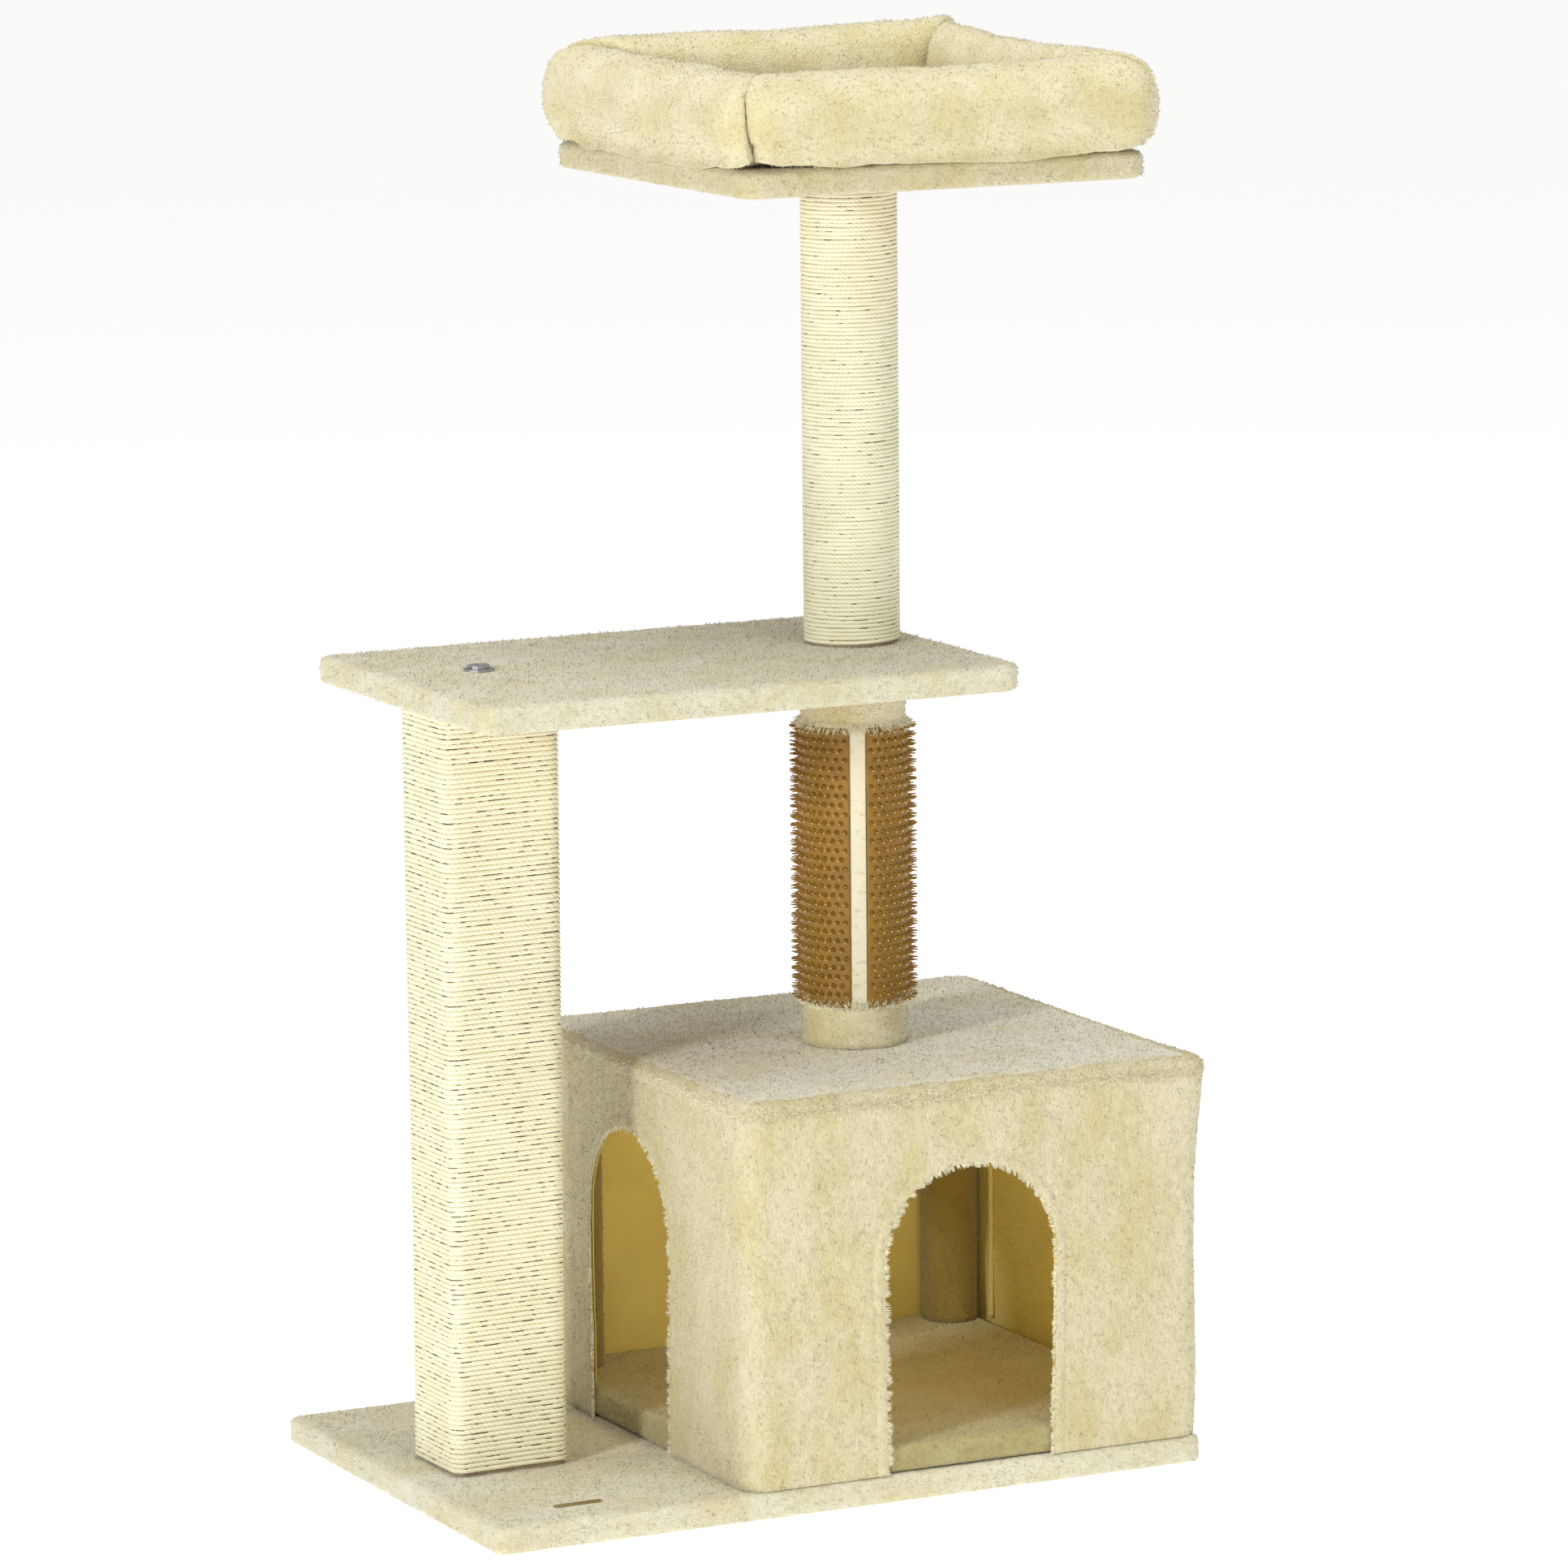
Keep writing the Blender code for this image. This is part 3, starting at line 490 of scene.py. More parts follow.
BOARD_PLUSH = (0.680, 0.650, 0.490)
BOARD_NAP = (0.2, -0.15, 0)
LEFT_FOLD = 0.004
LEFT_FOLD_REACH = 0.06
board_plush = plush("board_plush", BOARD_PLUSH, nap=(0.6, 1.0, 1.0))
board_shades = tuft_shades("board_pile", BOARD_PLUSH)


def wrapped_panel(name, node, corner, edge, finish, shades, seed, left_fold=0.0):
    """A wrapped board's cover with its pile. The cloth is cut to the board's top, its sides and the
    border folded under it. left_fold is how far the cloth stands out at the left end, by the square of
    the way from LEFT_FOLD_REACH in."""
    low, high = (np.array(side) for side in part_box(node))
    cover = panel_skin(name, node, corner, edge, (finish,), seed)
    if left_fold:
        places = points_of(cover)
        way_out = np.clip((low[0] + LEFT_FOLD_REACH - places[:, 0]) / LEFT_FOLD_REACH, 0, 1)
        places[:, 0] -= left_fold * way_out**2
        move_points(cover, places)
    hair = pile_on(cover, shades, BOARD_NAP, seed + 5, keep=lambda roots: roots[:, 2] > low[2] + 0.002)


wrapped_panel(
    "base_plush", "base_cover", 0.008, 0.0055, board_plush, board_shades, 11, LEFT_FOLD
)


def refinish(finish, *nodes):
    """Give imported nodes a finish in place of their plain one."""
    for node in nodes:
        for material_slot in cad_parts[node].material_slots:
            material_slot.link = "OBJECT"
            material_slot.material = finish


def chipboard():
    """Chipboard: flat chips a few millimetres wide in three browns, with fine grit."""
    finish, shader, tree = new_finish("particle_board", (0.445, 0.279, 0.117), 0.8)
    chips = tree.nodes.new("ShaderNodeTexVoronoi")
    chips.inputs["Scale"].default_value = 260
    tree.links.new(object_places(tree), chips.inputs["Vector"])
    browns = ((0.2, (0.30, 0.18, 0.07)), (0.5, (0.46, 0.29, 0.12)), (0.8, (0.60, 0.41, 0.20)))
    tree.links.new(link_ramp(tree, chips.outputs["Color"], browns), shader.inputs["Base Color"])
    link_bump(tree, shader, link_noise(tree, 900, 2), 0.3, 0.0004)
    return finish


refinish(chipboard(), "base_board", "house_floor_board", "house_roof_board", "shelf_board", "bed_board")


def brushed_metal(name, colour, roughness, along):
    """Metal with fine lines: noise stretched along the brushing, in colour and relief."""
    finish, shader, tree = new_finish(name, colour, roughness, Metallic=1.0)
    lines = link_noise(tree, 1500, 2, along)
    tones = link_ramp(tree, lines, ((0.3, scaled(colour, 0.72)), (0.7, scaled(colour, 1.12))))
    tree.links.new(tones, shader.inputs["Base Color"])
    link_bump(tree, shader, lines, 0.25, 0.0001)
    return finish


plate_brass = brushed_metal("plate_brass", (0.52, 0.42, 0.20), 0.30, (0.05, 1, 1))
refinish(plate_brass, "name_plate")


def turned_points(centre, radii, levels, around):
    """Rings of points about a vertical line, one for each radius and level."""
    angle = np.arange(around) * math.tau / around
    radii, levels = np.asarray(radii, float)[:, None], np.asarray(levels, float)[:, None]
    x = centre[0] + radii * np.cos(angle)
    y = centre[1] + radii * np.sin(angle)
    return np.stack((x, y, levels + 0 * x), -1).reshape(-1, 3)


def end_caps(rings, around):
    """The two flat ends of a stack of rings, as one many-cornered face each."""
    ring = np.arange(around)
    return np.stack((ring[::-1], ring + (rings - 1) * around))


def dome_pin(name, centre, radius, height, finish, around=12):
    """A pin's round head: rings along a quarter ellipse, from a flat foot to a small flat crown."""
    bend = np.radians((0, 25, 50, 75))
    points = turned_points(centre, radius * np.cos(bend), centre[2] + height * np.sin(bend), around)
    quads = grid_quads(len(bend), around, around=True)
    return put_mesh(name, points, [quads, end_caps(len(bend), around)], finish)


plate_low, plate_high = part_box("name_plate")
PIN_R = 0.0014
PIN_HEIGHT = 0.0009
PIN_INSET = 0.003
PIN_LIFT = 0.0001
for side, x in (("left", plate_low[0] + PIN_INSET), ("right", plate_high[0] - PIN_INSET)):
    at = (x, (plate_low[1] + plate_high[1]) / 2, plate_high[2] + PIN_LIFT)
    pin = dome_pin(f"name_plate_{side}_pin", at, PIN_R, PIN_HEIGHT, plate_brass)
    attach(pin, "root")


# ---------------------------------------------------------------------------------------------
# House floor. A second wrapped board lies on the base, inside the foot of the wall, and its plush
# shows in both doors.
# ---------------------------------------------------------------------------------------------
# The house floor's plush is painted darker and more golden than the board plush outside, and so is its pile:
# painted shade of the house's inside.
SHADED_FLOOR_PLUSH = (0.430, 0.375, 0.180)
floor_plush = plush("floor_plush", SHADED_FLOOR_PLUSH)
floor_shades = tuft_shades("floor_pile", SHADED_FLOOR_PLUSH)
wrapped_panel(
    "house_floor_plush", "house_floor_cover", 0.0147, 0.006,
    floor_plush, floor_shades, 23,
)


# ---------------------------------------------------------------------------------------------
# Corner posts. Four timber rods in plush sleeves hold the roof over the floor. A bolt comes up
# through the base into each, and a countersunk screw down through the roof board.
# ---------------------------------------------------------------------------------------------
def grained_timber():
    """Pine: long soft growth lines, drawn out along the rod."""
    finish, shader, tree = new_finish("pine", (0.60, 0.42, 0.22), 0.6)
    grain = link_noise(tree, 160, 4, (1, 1, 0.06))
    tones = ((0.35, (0.46, 0.29, 0.13)), (0.65, (0.68, 0.50, 0.28)))
    tree.links.new(link_ramp(tree, grain, tones), shader.inputs["Base Color"])
    link_bump(tree, shader, grain, 0.2, 0.0003)
    return finish


# The corner posts' plush is painted a dark golden brown, far darker than the house's cream plush, and so is
# its pile: painted shade of the house's inside.
SHADED_POST_PLUSH = (0.270, 0.205, 0.055)
SLEEVE_NAP = (0, 0, -0.3)
SLEEVE_NAP_DEPTH = 0.0005
SLEEVE_CELL = 0.005


def turned_sleeve(name, node, centre, seed, finish, shades, keep=None, around=56):
    """A tight plush sleeve on a round post: the node's radius and height, a cloth's thickness in."""
    low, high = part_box(node)
    radius = (high[0] - low[0]) / 2
    levels = np.linspace(low[2], high[2], round((high[2] - low[2]) / SLEEVE_CELL))
    points = turned_points(centre, np.full(len(levels), radius), levels, around)
    sleeve = put_mesh(name, points, grid_quads(len(levels), around, around=True), finish)
    brush_nap(sleeve, SLEEVE_NAP_DEPTH, seed)
    give_thickness(sleeve, CLOTH_T)
    hair = pile_on(sleeve, shades, SLEEVE_NAP, seed + 3, keep=keep)
    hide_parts(node)
    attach(sleeve, "root")


post_plush = plush("post_plush", SHADED_POST_PLUSH)
post_shades = tuft_shades("post_pile", SHADED_POST_PLUSH)
pine = grained_timber()
zinc = brushed_metal("zinc_steel", (0.46, 0.47, 0.49), 0.48, (1, 1, 0.2))
CORNERS = ("front_left", "front_right", "back_left", "back_right")
for number, corner in enumerate(CORNERS):
    low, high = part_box(f"{corner}_post_sleeve")
    axis = ((low[0] + high[0]) / 2, (low[1] + high[1]) / 2)
    turned_sleeve(
        f"{corner}_post_plush", f"{corner}_post_sleeve", axis, 40 + 7 * number, post_plush, post_shades
    )
    refinish(pine, f"{corner}_post_core")
    refinish(zinc, f"{corner}_post_bolt", f"{corner}_post_screw")


# ---------------------------------------------------------------------------------------------
# House wall. One strip of woven-backed plush goes round the boards and posts, sewn up near the back
# right corner. It has two arched doors, each with its edge turned in and stitched 9 mm from it.
# ---------------------------------------------------------------------------------------------
WALL_LOW, WALL_HIGH = (np.array(side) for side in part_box("house_wall_wrap"))
TOP_EDGE_RISE = 0.00026
WALL_HIGH[2] += TOP_EDGE_RISE
WALL_CORNER = 0.018
WALL_ARC = math.pi / 2 * WALL_CORNER
WALL_SIDE = WALL_HIGH[0] - WALL_LOW[0] - 2 * WALL_CORNER
WALL_STEP = WALL_SIDE + WALL_ARC
WALL_ROUND = 4 * WALL_STEP
WALL_T = 0.003
HEM_W = 0.009
HEM_T = 0.0009
DOOR_R = 0.0745
DOOR_FOOT_R = 0.0715
FRONT_DOOR_X = 0.098
SIDE_DOOR_Y = 0.0095
# Each door: the side of the house it is in, its middle along that side, and its spring line.
DOORS = {
    "front": (2, FRONT_DOOR_X - (WALL_LOW[0] + WALL_CORNER), 0.185),
    "side": (1, (WALL_HIGH[1] - WALL_CORNER) - SIDE_DOOR_Y, 0.1935),
}

RIGHT_FULLNESS = 0.0045
CORNER_FOLD = 0.0080
FOLD_WAY = (0.80, -0.60)
FOLD_WIDTH = 0.045
FOLD_FADE = 0.05
FOLD_LEAST = 0.30


def full_right_side(points):
    """The cloth's spare width. The right side stands out by the cube of the way from the house's
    middle to it, and a fold stands out of the front right corner, as a Gaussian FOLD_WIDTH wide that
    fades below the roof and towards the foot."""
    points = np.array(points, float)
    middle, half = (WALL_LOW[0] + WALL_HIGH[0]) / 2, (WALL_HIGH[0] - WALL_LOW[0]) / 2
    from_corner = np.hypot(points[..., 0] - WALL_HIGH[0], points[..., 1] - WALL_LOW[1])
    below_roof = np.maximum(WALL_HIGH[2] - points[..., 2], 0)
    under_roof = FOLD_LEAST + (1 - FOLD_LEAST) * np.exp(-((below_roof / FOLD_FADE) ** 2))
    fold = CORNER_FOLD * np.exp(-((from_corner / FOLD_WIDTH) ** 2)) * under_roof
    fold *= np.clip((points[..., 2] - WALL_LOW[2]) / FOLD_FADE, 0, 1)
    to_right = np.clip((points[..., 0] - middle) / half, 0, 1)
    points[..., 0] += RIGHT_FULLNESS * to_right**3 + fold * FOLD_WAY[0]
    points[..., 1] += fold * FOLD_WAY[1]
    return points


def wall_place(along, level, out):
    """The strip's points round the house. The distance along it starts at the back right corner and
    runs by the back, left, front and right sides, four straights and four quarter circles; out is
    the distance outwards from the wall's face."""
    side = np.floor_divide(along % WALL_ROUND, WALL_STEP).astype(int)
    past = along % WALL_ROUND - side * WALL_STEP
    way = np.array(((-1, 0), (0, -1), (1, 0), (0, 1)))[side]
    face = np.array(((0, 1), (-1, 0), (0, -1), (1, 0)))[side]
    xlo, ylo, xhi, yhi = *WALL_LOW[:2], *WALL_HIGH[:2]
    starts = np.array((
        (xhi - WALL_CORNER, yhi), (xlo, yhi - WALL_CORNER),
        (xlo + WALL_CORNER, ylo), (xhi, ylo + WALL_CORNER),
    ))[side]
    straight = np.minimum(past, WALL_SIDE)[..., None]
    angle = (np.maximum(past - WALL_SIDE, 0) / WALL_CORNER)[..., None]
    normal = face * np.cos(angle) + way * np.sin(angle)
    centre = starts + way * straight - face * WALL_CORNER
    xy = centre + normal * (WALL_CORNER + np.asarray(out)[..., None])
    return full_right_side(np.concatenate((xy, np.asarray(level)[..., None]), -1)), normal


SWELL, SWELL_SIZE = 0.0014, 0.075
WAIST, WAIST_WIDTH = 0.0022, 0.035
PUCKER, PUCKER_SIZE, PUCKER_REACH = 0.0004, 0.016, 0.022
PLUMP = 0.0007
CREASE, CREASE_WIDTH = 0.0004, 0.0020


def wall_slack(along, level, from_edge):
    """How far the cloth stands out: gentle swells between corners, a waist at the corners where it
    is pulled straight from board to board, and at a door the turned-in edge, plump as far as its
    stitched crease."""
    height = (level - WALL_LOW[2]) / (WALL_HIGH[2] - WALL_LOW[2])
    past = along % WALL_STEP
    to_corner = np.minimum(np.abs(past - WALL_SIDE - WALL_ARC / 2), past + WALL_ARC / 2)
    waist = np.sin(math.pi * np.clip(height, 0, 1)) * np.exp(-((to_corner / WAIST_WIDTH) ** 2))
    spots = np.stack((along, level, 0 * along), -1).reshape(-1, 3)
    swell = lattice_noise(spots, SWELL_SIZE, 61).reshape(along.shape)
    pucker = lattice_noise(spots, PUCKER_SIZE, 62).reshape(along.shape)
    plump = np.where(from_edge < HEM_W, np.sin(math.pi * np.clip(from_edge / HEM_W, 0, 1)), 0)
    crease = np.exp(-(((from_edge - HEM_W) / CREASE_WIDTH) ** 2))
    near_door = np.exp(-((from_edge / PUCKER_REACH) ** 2))
    slack = SWELL * swell - WAIST * waist + PUCKER * pucker * (1 + near_door)
    slack = slack * np.clip(height * 6, 0, 1) * np.clip((1 - height) * 8, 0, 1)
    return slack + PLUMP * plump - CREASE * crease


JAMB_STEPS = 36
ARC_STEPS = 20
CROWN_STEPS = 48
NEAR_RINGS = np.array((0, 0.8, 1.8, 3.0, 4.5, 6.0, 7.2, 8.1, 8.6, 9.0, 9.4, 9.9, 10.8, 12.0, 14.0)) / 1000
FAR_STEPS = 18
WALL_COLUMNS = 64
CORNER_COLUMNS = 8
FAR_FROM_DOOR = 1.0


def door_outline(side_from, side_to, foot, top, middle, spring):
    """A door's outline from its left foot over the crown to its right foot, as points, outward
    normals, and the rectangle's points that they are joined to. The jambs run straight from foot
    to spring line, the head is a half circle, and its points turn evenly between the directions of
    the rectangle's corners."""
    jamb = np.linspace(0, 1, JAMB_STEPS + 1)[:-1]
    left = math.atan2(top - spring, side_from - middle)
    right = math.atan2(top - spring, side_to - middle)
    turns = (
        np.linspace(math.pi, left, ARC_STEPS + 1)[:-1],
        np.linspace(left, right, CROWN_STEPS + 1)[:-1],
        np.linspace(right, 0, ARC_STEPS + 1),
    )
    angle = np.concatenate(turns)
    cosine, sine = np.cos(angle), np.sin(angle)
    head = np.stack((middle + DOOR_R * cosine, spring + DOOR_R * sine), -1)
    to_side = np.where(cosine < 0, side_from - middle, side_to - middle)
    reach_side = to_side / np.where(cosine == 0, 1e-9, cosine)
    reach_top = (top - spring) / np.maximum(sine, 1e-9)
    reach = np.minimum(reach_side, reach_top)
    head_far = np.stack((middle + reach * cosine, spring + reach * sine), -1)
    level = foot + (spring - foot) * jamb
    half = DOOR_FOOT_R + (DOOR_R - DOOR_FOOT_R) * jamb
    left_jamb, right_jamb = np.stack((middle - half, level), -1), np.stack((middle + half, level), -1)
    leftwards = np.stack((-1 + 0 * jamb, 0 * jamb), -1)
    left_far = np.stack((side_from + 0 * level, level), -1)
    right_far = np.stack((side_to + 0 * level, level), -1)
    points = np.concatenate((left_jamb, head, right_jamb[::-1]))
    normals = np.concatenate((leftwards, np.stack((cosine, sine), -1), -leftwards))
    far = np.concatenate((left_far, head_far, right_far[::-1]))
    return points, normals, far


def door_panel(outline):
    """A door's wall as a grid: rings at set distances from the outline, then even steps out to the
    rectangle. Gives along, level and the distance from the door's edge."""
    points, normals, far = outline
    near = points[None] + NEAR_RINGS[:, None, None] * normals[None]
    share = np.linspace(0, 1, FAR_STEPS + 1)[1:, None, None]
    outer = near[-1][None] * (1 - share) + far[None] * share
    rings = np.concatenate((near, outer))
    from_edge = NEAR_RINGS[-1] + np.linalg.norm(outer - near[-1][None], axis=-1)
    from_edge = np.concatenate((np.broadcast_to(NEAR_RINGS[:, None], near.shape[:2]), from_edge))
    return rings[..., 0], rings[..., 1], from_edge


def plain_panel(left_along, left_levels, right_along, right_levels, columns):
    """A wall without a door: rows run evenly between the levels of its two neighbours."""
    share = np.linspace(0, 1, columns + 1)
    along = left_along + (right_along - left_along) * share[None, :] + 0 * left_levels[:, None]
    level = left_levels[:, None] * (1 - share) + right_levels[:, None] * share
    return along, level, np.full(level.shape, FAR_FROM_DOOR)


outlines = {}
for door, (side, middle, spring) in DOORS.items():
    start = side * WALL_STEP
    outlines[door] = door_outline(
        start, start + WALL_SIDE, WALL_LOW[2], WALL_HIGH[2], start + middle, spring
    )
rise = JAMB_STEPS + ARC_STEPS + 1
side_left, side_right = outlines["side"][2][:rise, 1], outlines["side"][2][-rise:, 1][::-1]
front_left, front_right = outlines["front"][2][:rise, 1], outlines["front"][2][-rise:, 1][::-1]
back_start, left_start, front_start, right_start, strip_end = (side * WALL_STEP for side in range(5))
panels = [
    plain_panel(back_start, front_right, WALL_SIDE, side_left, WALL_COLUMNS),
    plain_panel(WALL_SIDE, side_left, left_start, side_left, CORNER_COLUMNS),
    door_panel(outlines["side"]),
    plain_panel(left_start + WALL_SIDE, side_right, front_start, front_left, CORNER_COLUMNS),
    door_panel(outlines["front"]),
    plain_panel(front_start + WALL_SIDE, front_right, right_start, front_right, CORNER_COLUMNS),
    plain_panel(right_start, front_right, right_start + WALL_SIDE, front_right, WALL_COLUMNS),
    plain_panel(right_start + WALL_SIDE, front_right, strip_end, front_right, CORNER_COLUMNS),
]
flat, wall_quads, begin = [], [], 0
for along, level, from_edge in panels:
    is_door = along.shape[0] > rise
    flat.append(np.stack((along, level, from_edge), -1).reshape(-1, 3))
    quads = grid_quads(*along.shape, begin)
    wall_quads.append(quads[:, ::-1] if is_door else quads)
    begin += along.size
flat = np.concatenate(flat)
keys = np.stack((np.round(flat[:, 0] % WALL_ROUND, 6) % round(WALL_ROUND, 6), flat[:, 1].round(6)), -1)
_, first, where = np.unique(keys, axis=0, return_index=True, return_inverse=True)
flat, wall_quads = flat[first], where.reshape(-1)[np.concatenate(wall_quads)]
WALL_PLUSH = (0.645, 0.585, 0.385)
wall_plush = plush("wall_plush", WALL_PLUSH, nap=(1.0, 1.0, 0.5))
wall_shades = tuft_shades("wall_pile", WALL_PLUSH)


RIB_PITCH = 0.0026


def woven_backing():
    """The plush's woven back: fine diagonal ribs crossing at the yarns, in a golden beige."""
    finish, shader, tree = new_finish("woven_backing", (0.70, 0.60, 0.21), 0.85)
    places = tree.nodes.new("ShaderNodeSeparateXYZ")
    tree.links.new(object_places(tree), places.inputs["Vector"])
    flat_way = link_math(tree, "ADD", places.outputs["X"], places.outputs["Y"])
    ribs = []
    for sign in ("ADD", "SUBTRACT"):
        diagonal = link_math(tree, sign, flat_way, places.outputs["Z"])
        ribs.append(link_math(tree, "SINE", link_math(tree, "MULTIPLY", diagonal, math.tau / RIB_PITCH)))
    weave = link_math(tree, "MULTIPLY_ADD", link_math(tree, "MULTIPLY", *ribs), 0.5, 0.5)
    tones = link_ramp(tree, weave, ((0.25, (0.57, 0.47, 0.14)), (0.75, (0.82, 0.72, 0.29))))
    patches = link_ramp(tree, link_noise(tree, 18, 3), ((0.35, (0.88, 0.86, 0.82)), (0.65, UNTINTED)))
    tree.links.new(link_mix(tree, "MULTIPLY", 0.9, tones, patches), shader.inputs["Base Color"])
    link_bump(tree, shader, weave, 0.5, 0.0003)
    return finish


backing = woven_backing()
wall_points, _ = wall_place(flat[:, 0], flat[:, 1], wall_slack(flat[:, 0], flat[:, 1], flat[:, 2]))
wall = put_mesh("house_wall_plush", wall_points, wall_quads, wall_plush, backing)
give_thickness(wall, WALL_T, even=False)
wall_hair = pile_on(wall, wall_shades, (0, 0, -0.25), 71)
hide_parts("house_wall_wrap")
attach(wall, "root")

# The fringe: hairs in locks, which drift along the edge, fan out and stand forward.
LOCKS_PER_M = 620
HAIRS_PER_LOCK = 9
LOCK_SPREAD = 0.0012
LOCK_DRIFT = 0.0010
LOCK_FAN = 0.4
LOCK_FORWARD = 0.0022
FRINGE_LENGTH = 0.0044
FRINGE_WIDTH = 0.0008
HAIR_STRAY = 0.0003
HEM_FOOT = 0.0445
# The fringe is painted in lighter tones than the wall's plush and emits light: painted light, for the light
# that shines through its thin hairs.
fringe_shades = tuft_shades("fringe_pile", (0.80, 0.74, 0.50), painted_light=0.26)
for number, (door, outline) in enumerate(outlines.items()):
    points, normals = outline[0], outline[1]
    rng = np.random.default_rng(80 + number)
    runs = np.concatenate(((0,), np.cumsum(np.linalg.norm(np.diff(points, axis=0), axis=1))))
    locks = np.sort(rng.uniform(0, runs[-1], int(runs[-1] * LOCKS_PER_M)))
    lock = np.repeat(np.arange(len(locks)), HAIRS_PER_LOCK)
    at = np.clip(locks[lock] + rng.normal(size=len(lock)) * LOCK_SPREAD, 0, runs[-1])
    along, level = np.interp(at, runs, points[:, 0]), np.interp(at, runs, points[:, 1])
    away = np.stack((np.interp(at, runs, normals[:, 0]), np.interp(at, runs, normals[:, 1])), -1)
    depth = rng.uniform(-WALL_T * 0.8, 0.0002, len(at))
    roots, facing = wall_place(along, level, depth + wall_slack(along, level, 0 * along))
    flat_way = np.stack((-facing[:, 1], facing[:, 0]), -1)
    inward = np.concatenate((-away[:, :1] * flat_way, -away[:, 1:]), -1)
    round_way = np.concatenate((away[:, 1:] * flat_way, -away[:, :1]), -1)
    facing = np.concatenate((facing, 0 * facing[:, :1]), -1)
    reach = (FRINGE_LENGTH * rng.uniform(0.45, 1.1, len(locks)))[lock]
    drift = (rng.normal(size=len(locks)) * LOCK_DRIFT)[lock] - (at - locks[lock]) * LOCK_FAN
    forward = (rng.uniform(0.0, LOCK_FORWARD, len(locks)))[lock] - depth * 0.7
    leans = inward * reach[:, None] + round_way * drift[:, None] + facing * forward[:, None]
    leans += rng.normal(size=leans.shape) * HAIR_STRAY
    lengths = np.linalg.norm(leans, axis=1)
    widths = FRINGE_WIDTH * rng.uniform(0.7, 1.3, len(at))
    blend = inward * 0.5 + facing
    blend /= np.linalg.norm(blend, axis=1)[:, None]
    fringe = tufts(f"{door}_door_fringe", roots, blend, leans, lengths, widths, fringe_shades, 83 + number)
    hem_rings = NEAR_RINGS[NEAR_RINGS <= HEM_W]
    rings = points[None] + hem_rings[:, None, None] * normals[None]
    rim = rings[:, rings[0, :, 1] >= HEM_FOOT]
    hem_slack = wall_slack(rim[..., 0], rim[..., 1], np.full(rim.shape[:2], FAR_FROM_DOOR))
    hem_points, _ = wall_place(rim[..., 0], rim[..., 1], hem_slack - WALL_T - HEM_T)
    hem_quads = grid_quads(*rim.shape[:2])
    hem = put_mesh(f"{door}_door_turned_edge", hem_points.reshape(-1, 3), hem_quads, backing)
    give_thickness(hem, HEM_T, even=False)
    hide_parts(f"{door}_door_hem")
    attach(hem, "root")

# Where the strip's two ends are sewn together, a bead of cloth runs up inside the right side. Its
# stitches pinch it, as a sine wave of so many radians in a metre.
END_SEAM_R = 0.0022
END_SEAM_GAP = 0.0004
END_SEAM_FROM_BACK = 0.0515
END_SEAM_FOOT, END_SEAM_HEAD = 0.024, 0.016
END_SEAM_RINGS, END_SEAM_SIDES = 60, 12
STITCH_PINCH, STITCH_WAVE = 0.12, 900
END_SEAM_AT = (
    WALL_HIGH[0] - WALL_T - END_SEAM_R - END_SEAM_GAP, WALL_HIGH[1] - END_SEAM_FROM_BACK
)
seam_levels = np.linspace(WALL_LOW[2] + END_SEAM_FOOT, WALL_HIGH[2] - END_SEAM_HEAD, END_SEAM_RINGS)
seam_waver = END_SEAM_R * (1 + STITCH_PINCH * np.sin(seam_levels * STITCH_WAVE))
bead = turned_points(END_SEAM_AT, seam_waver, seam_levels, END_SEAM_SIDES)
bead[:, 0] += RIGHT_FULLNESS * 0.9
bead_quads = grid_quads(END_SEAM_RINGS, END_SEAM_SIDES, around=True)
bead_faces = [bead_quads, end_caps(END_SEAM_RINGS, END_SEAM_SIDES)]
end_seam = put_mesh("house_wall_end_seam", bead, bead_faces, backing)
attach(end_seam, "root")

# A narrow warm lamp over the front door stands for the light that comes in through the cloth.
GOLDEN = (1.0, 0.83, 0.42)
HOUSE_LAMP_AT, HOUSE_LAMP_AIM = (0.098, -0.186, 0.286), (0.098, 0.19, 0.20)
soft_lamp("house_lamp", HOUSE_LAMP_AT, HOUSE_LAMP_AIM, 0.26, 0.54, GOLDEN, tall=0.02)


# ---------------------------------------------------------------------------------------------
# House roof. Plush is drawn over the roof board and sewn to the wall along its edge, where the
# pile hides the seam. The top's plush is painted lighter and greyer than the sides: painted sheen of
# its fibre tips and painted light from above.
# ---------------------------------------------------------------------------------------------
# The roof top's colour is a lighter, greyer copy of the wall plush: painted sheen and painted light from
# above. Its pile takes these tones too, and its painted shade between clumps is stronger.
ROOF_TOP_LIT_PLUSH = (0.770, 0.745, 0.585)
ROOF_TOP_INSET = 0.0075
SEAM_TUFTS_PER_M = 12000
SEAM_TUFT = 0.0023
SEAM_SPREAD = 0.0024
roof_plush = plush("roof_plush", ROOF_TOP_LIT_PLUSH, nap=(0.5, 1.0, 1.0), shade_between=(0.70, 0.67, 0.60))
roof_shades = tuft_shades("roof_pile", ROOF_TOP_LIT_PLUSH)
roof_low, roof_high = (np.array(side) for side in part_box("house_roof_cover"))
roof = panel_skin(
    "house_roof_plush", "house_roof_cover", WALL_CORNER, 0.010, (wall_plush, roof_plush), 31,
    window=0.0, rise=0.0095,
)
roof.modifiers["cloth"].material_offset = 0
move_points(roof, full_right_side(points_of(roof)))


def on_roof_top(points):
    """A mask for points further in from the roof's edges than its rounded shoulder."""
    ragged = 0.0018 * lattice_noise(points, 0.012, 33)
    margin = np.minimum(points[:, :2] - roof_low[:2], roof_high[:2] - points[:, :2]).min(axis=1)
    return margin + ragged > ROOF_TOP_INSET


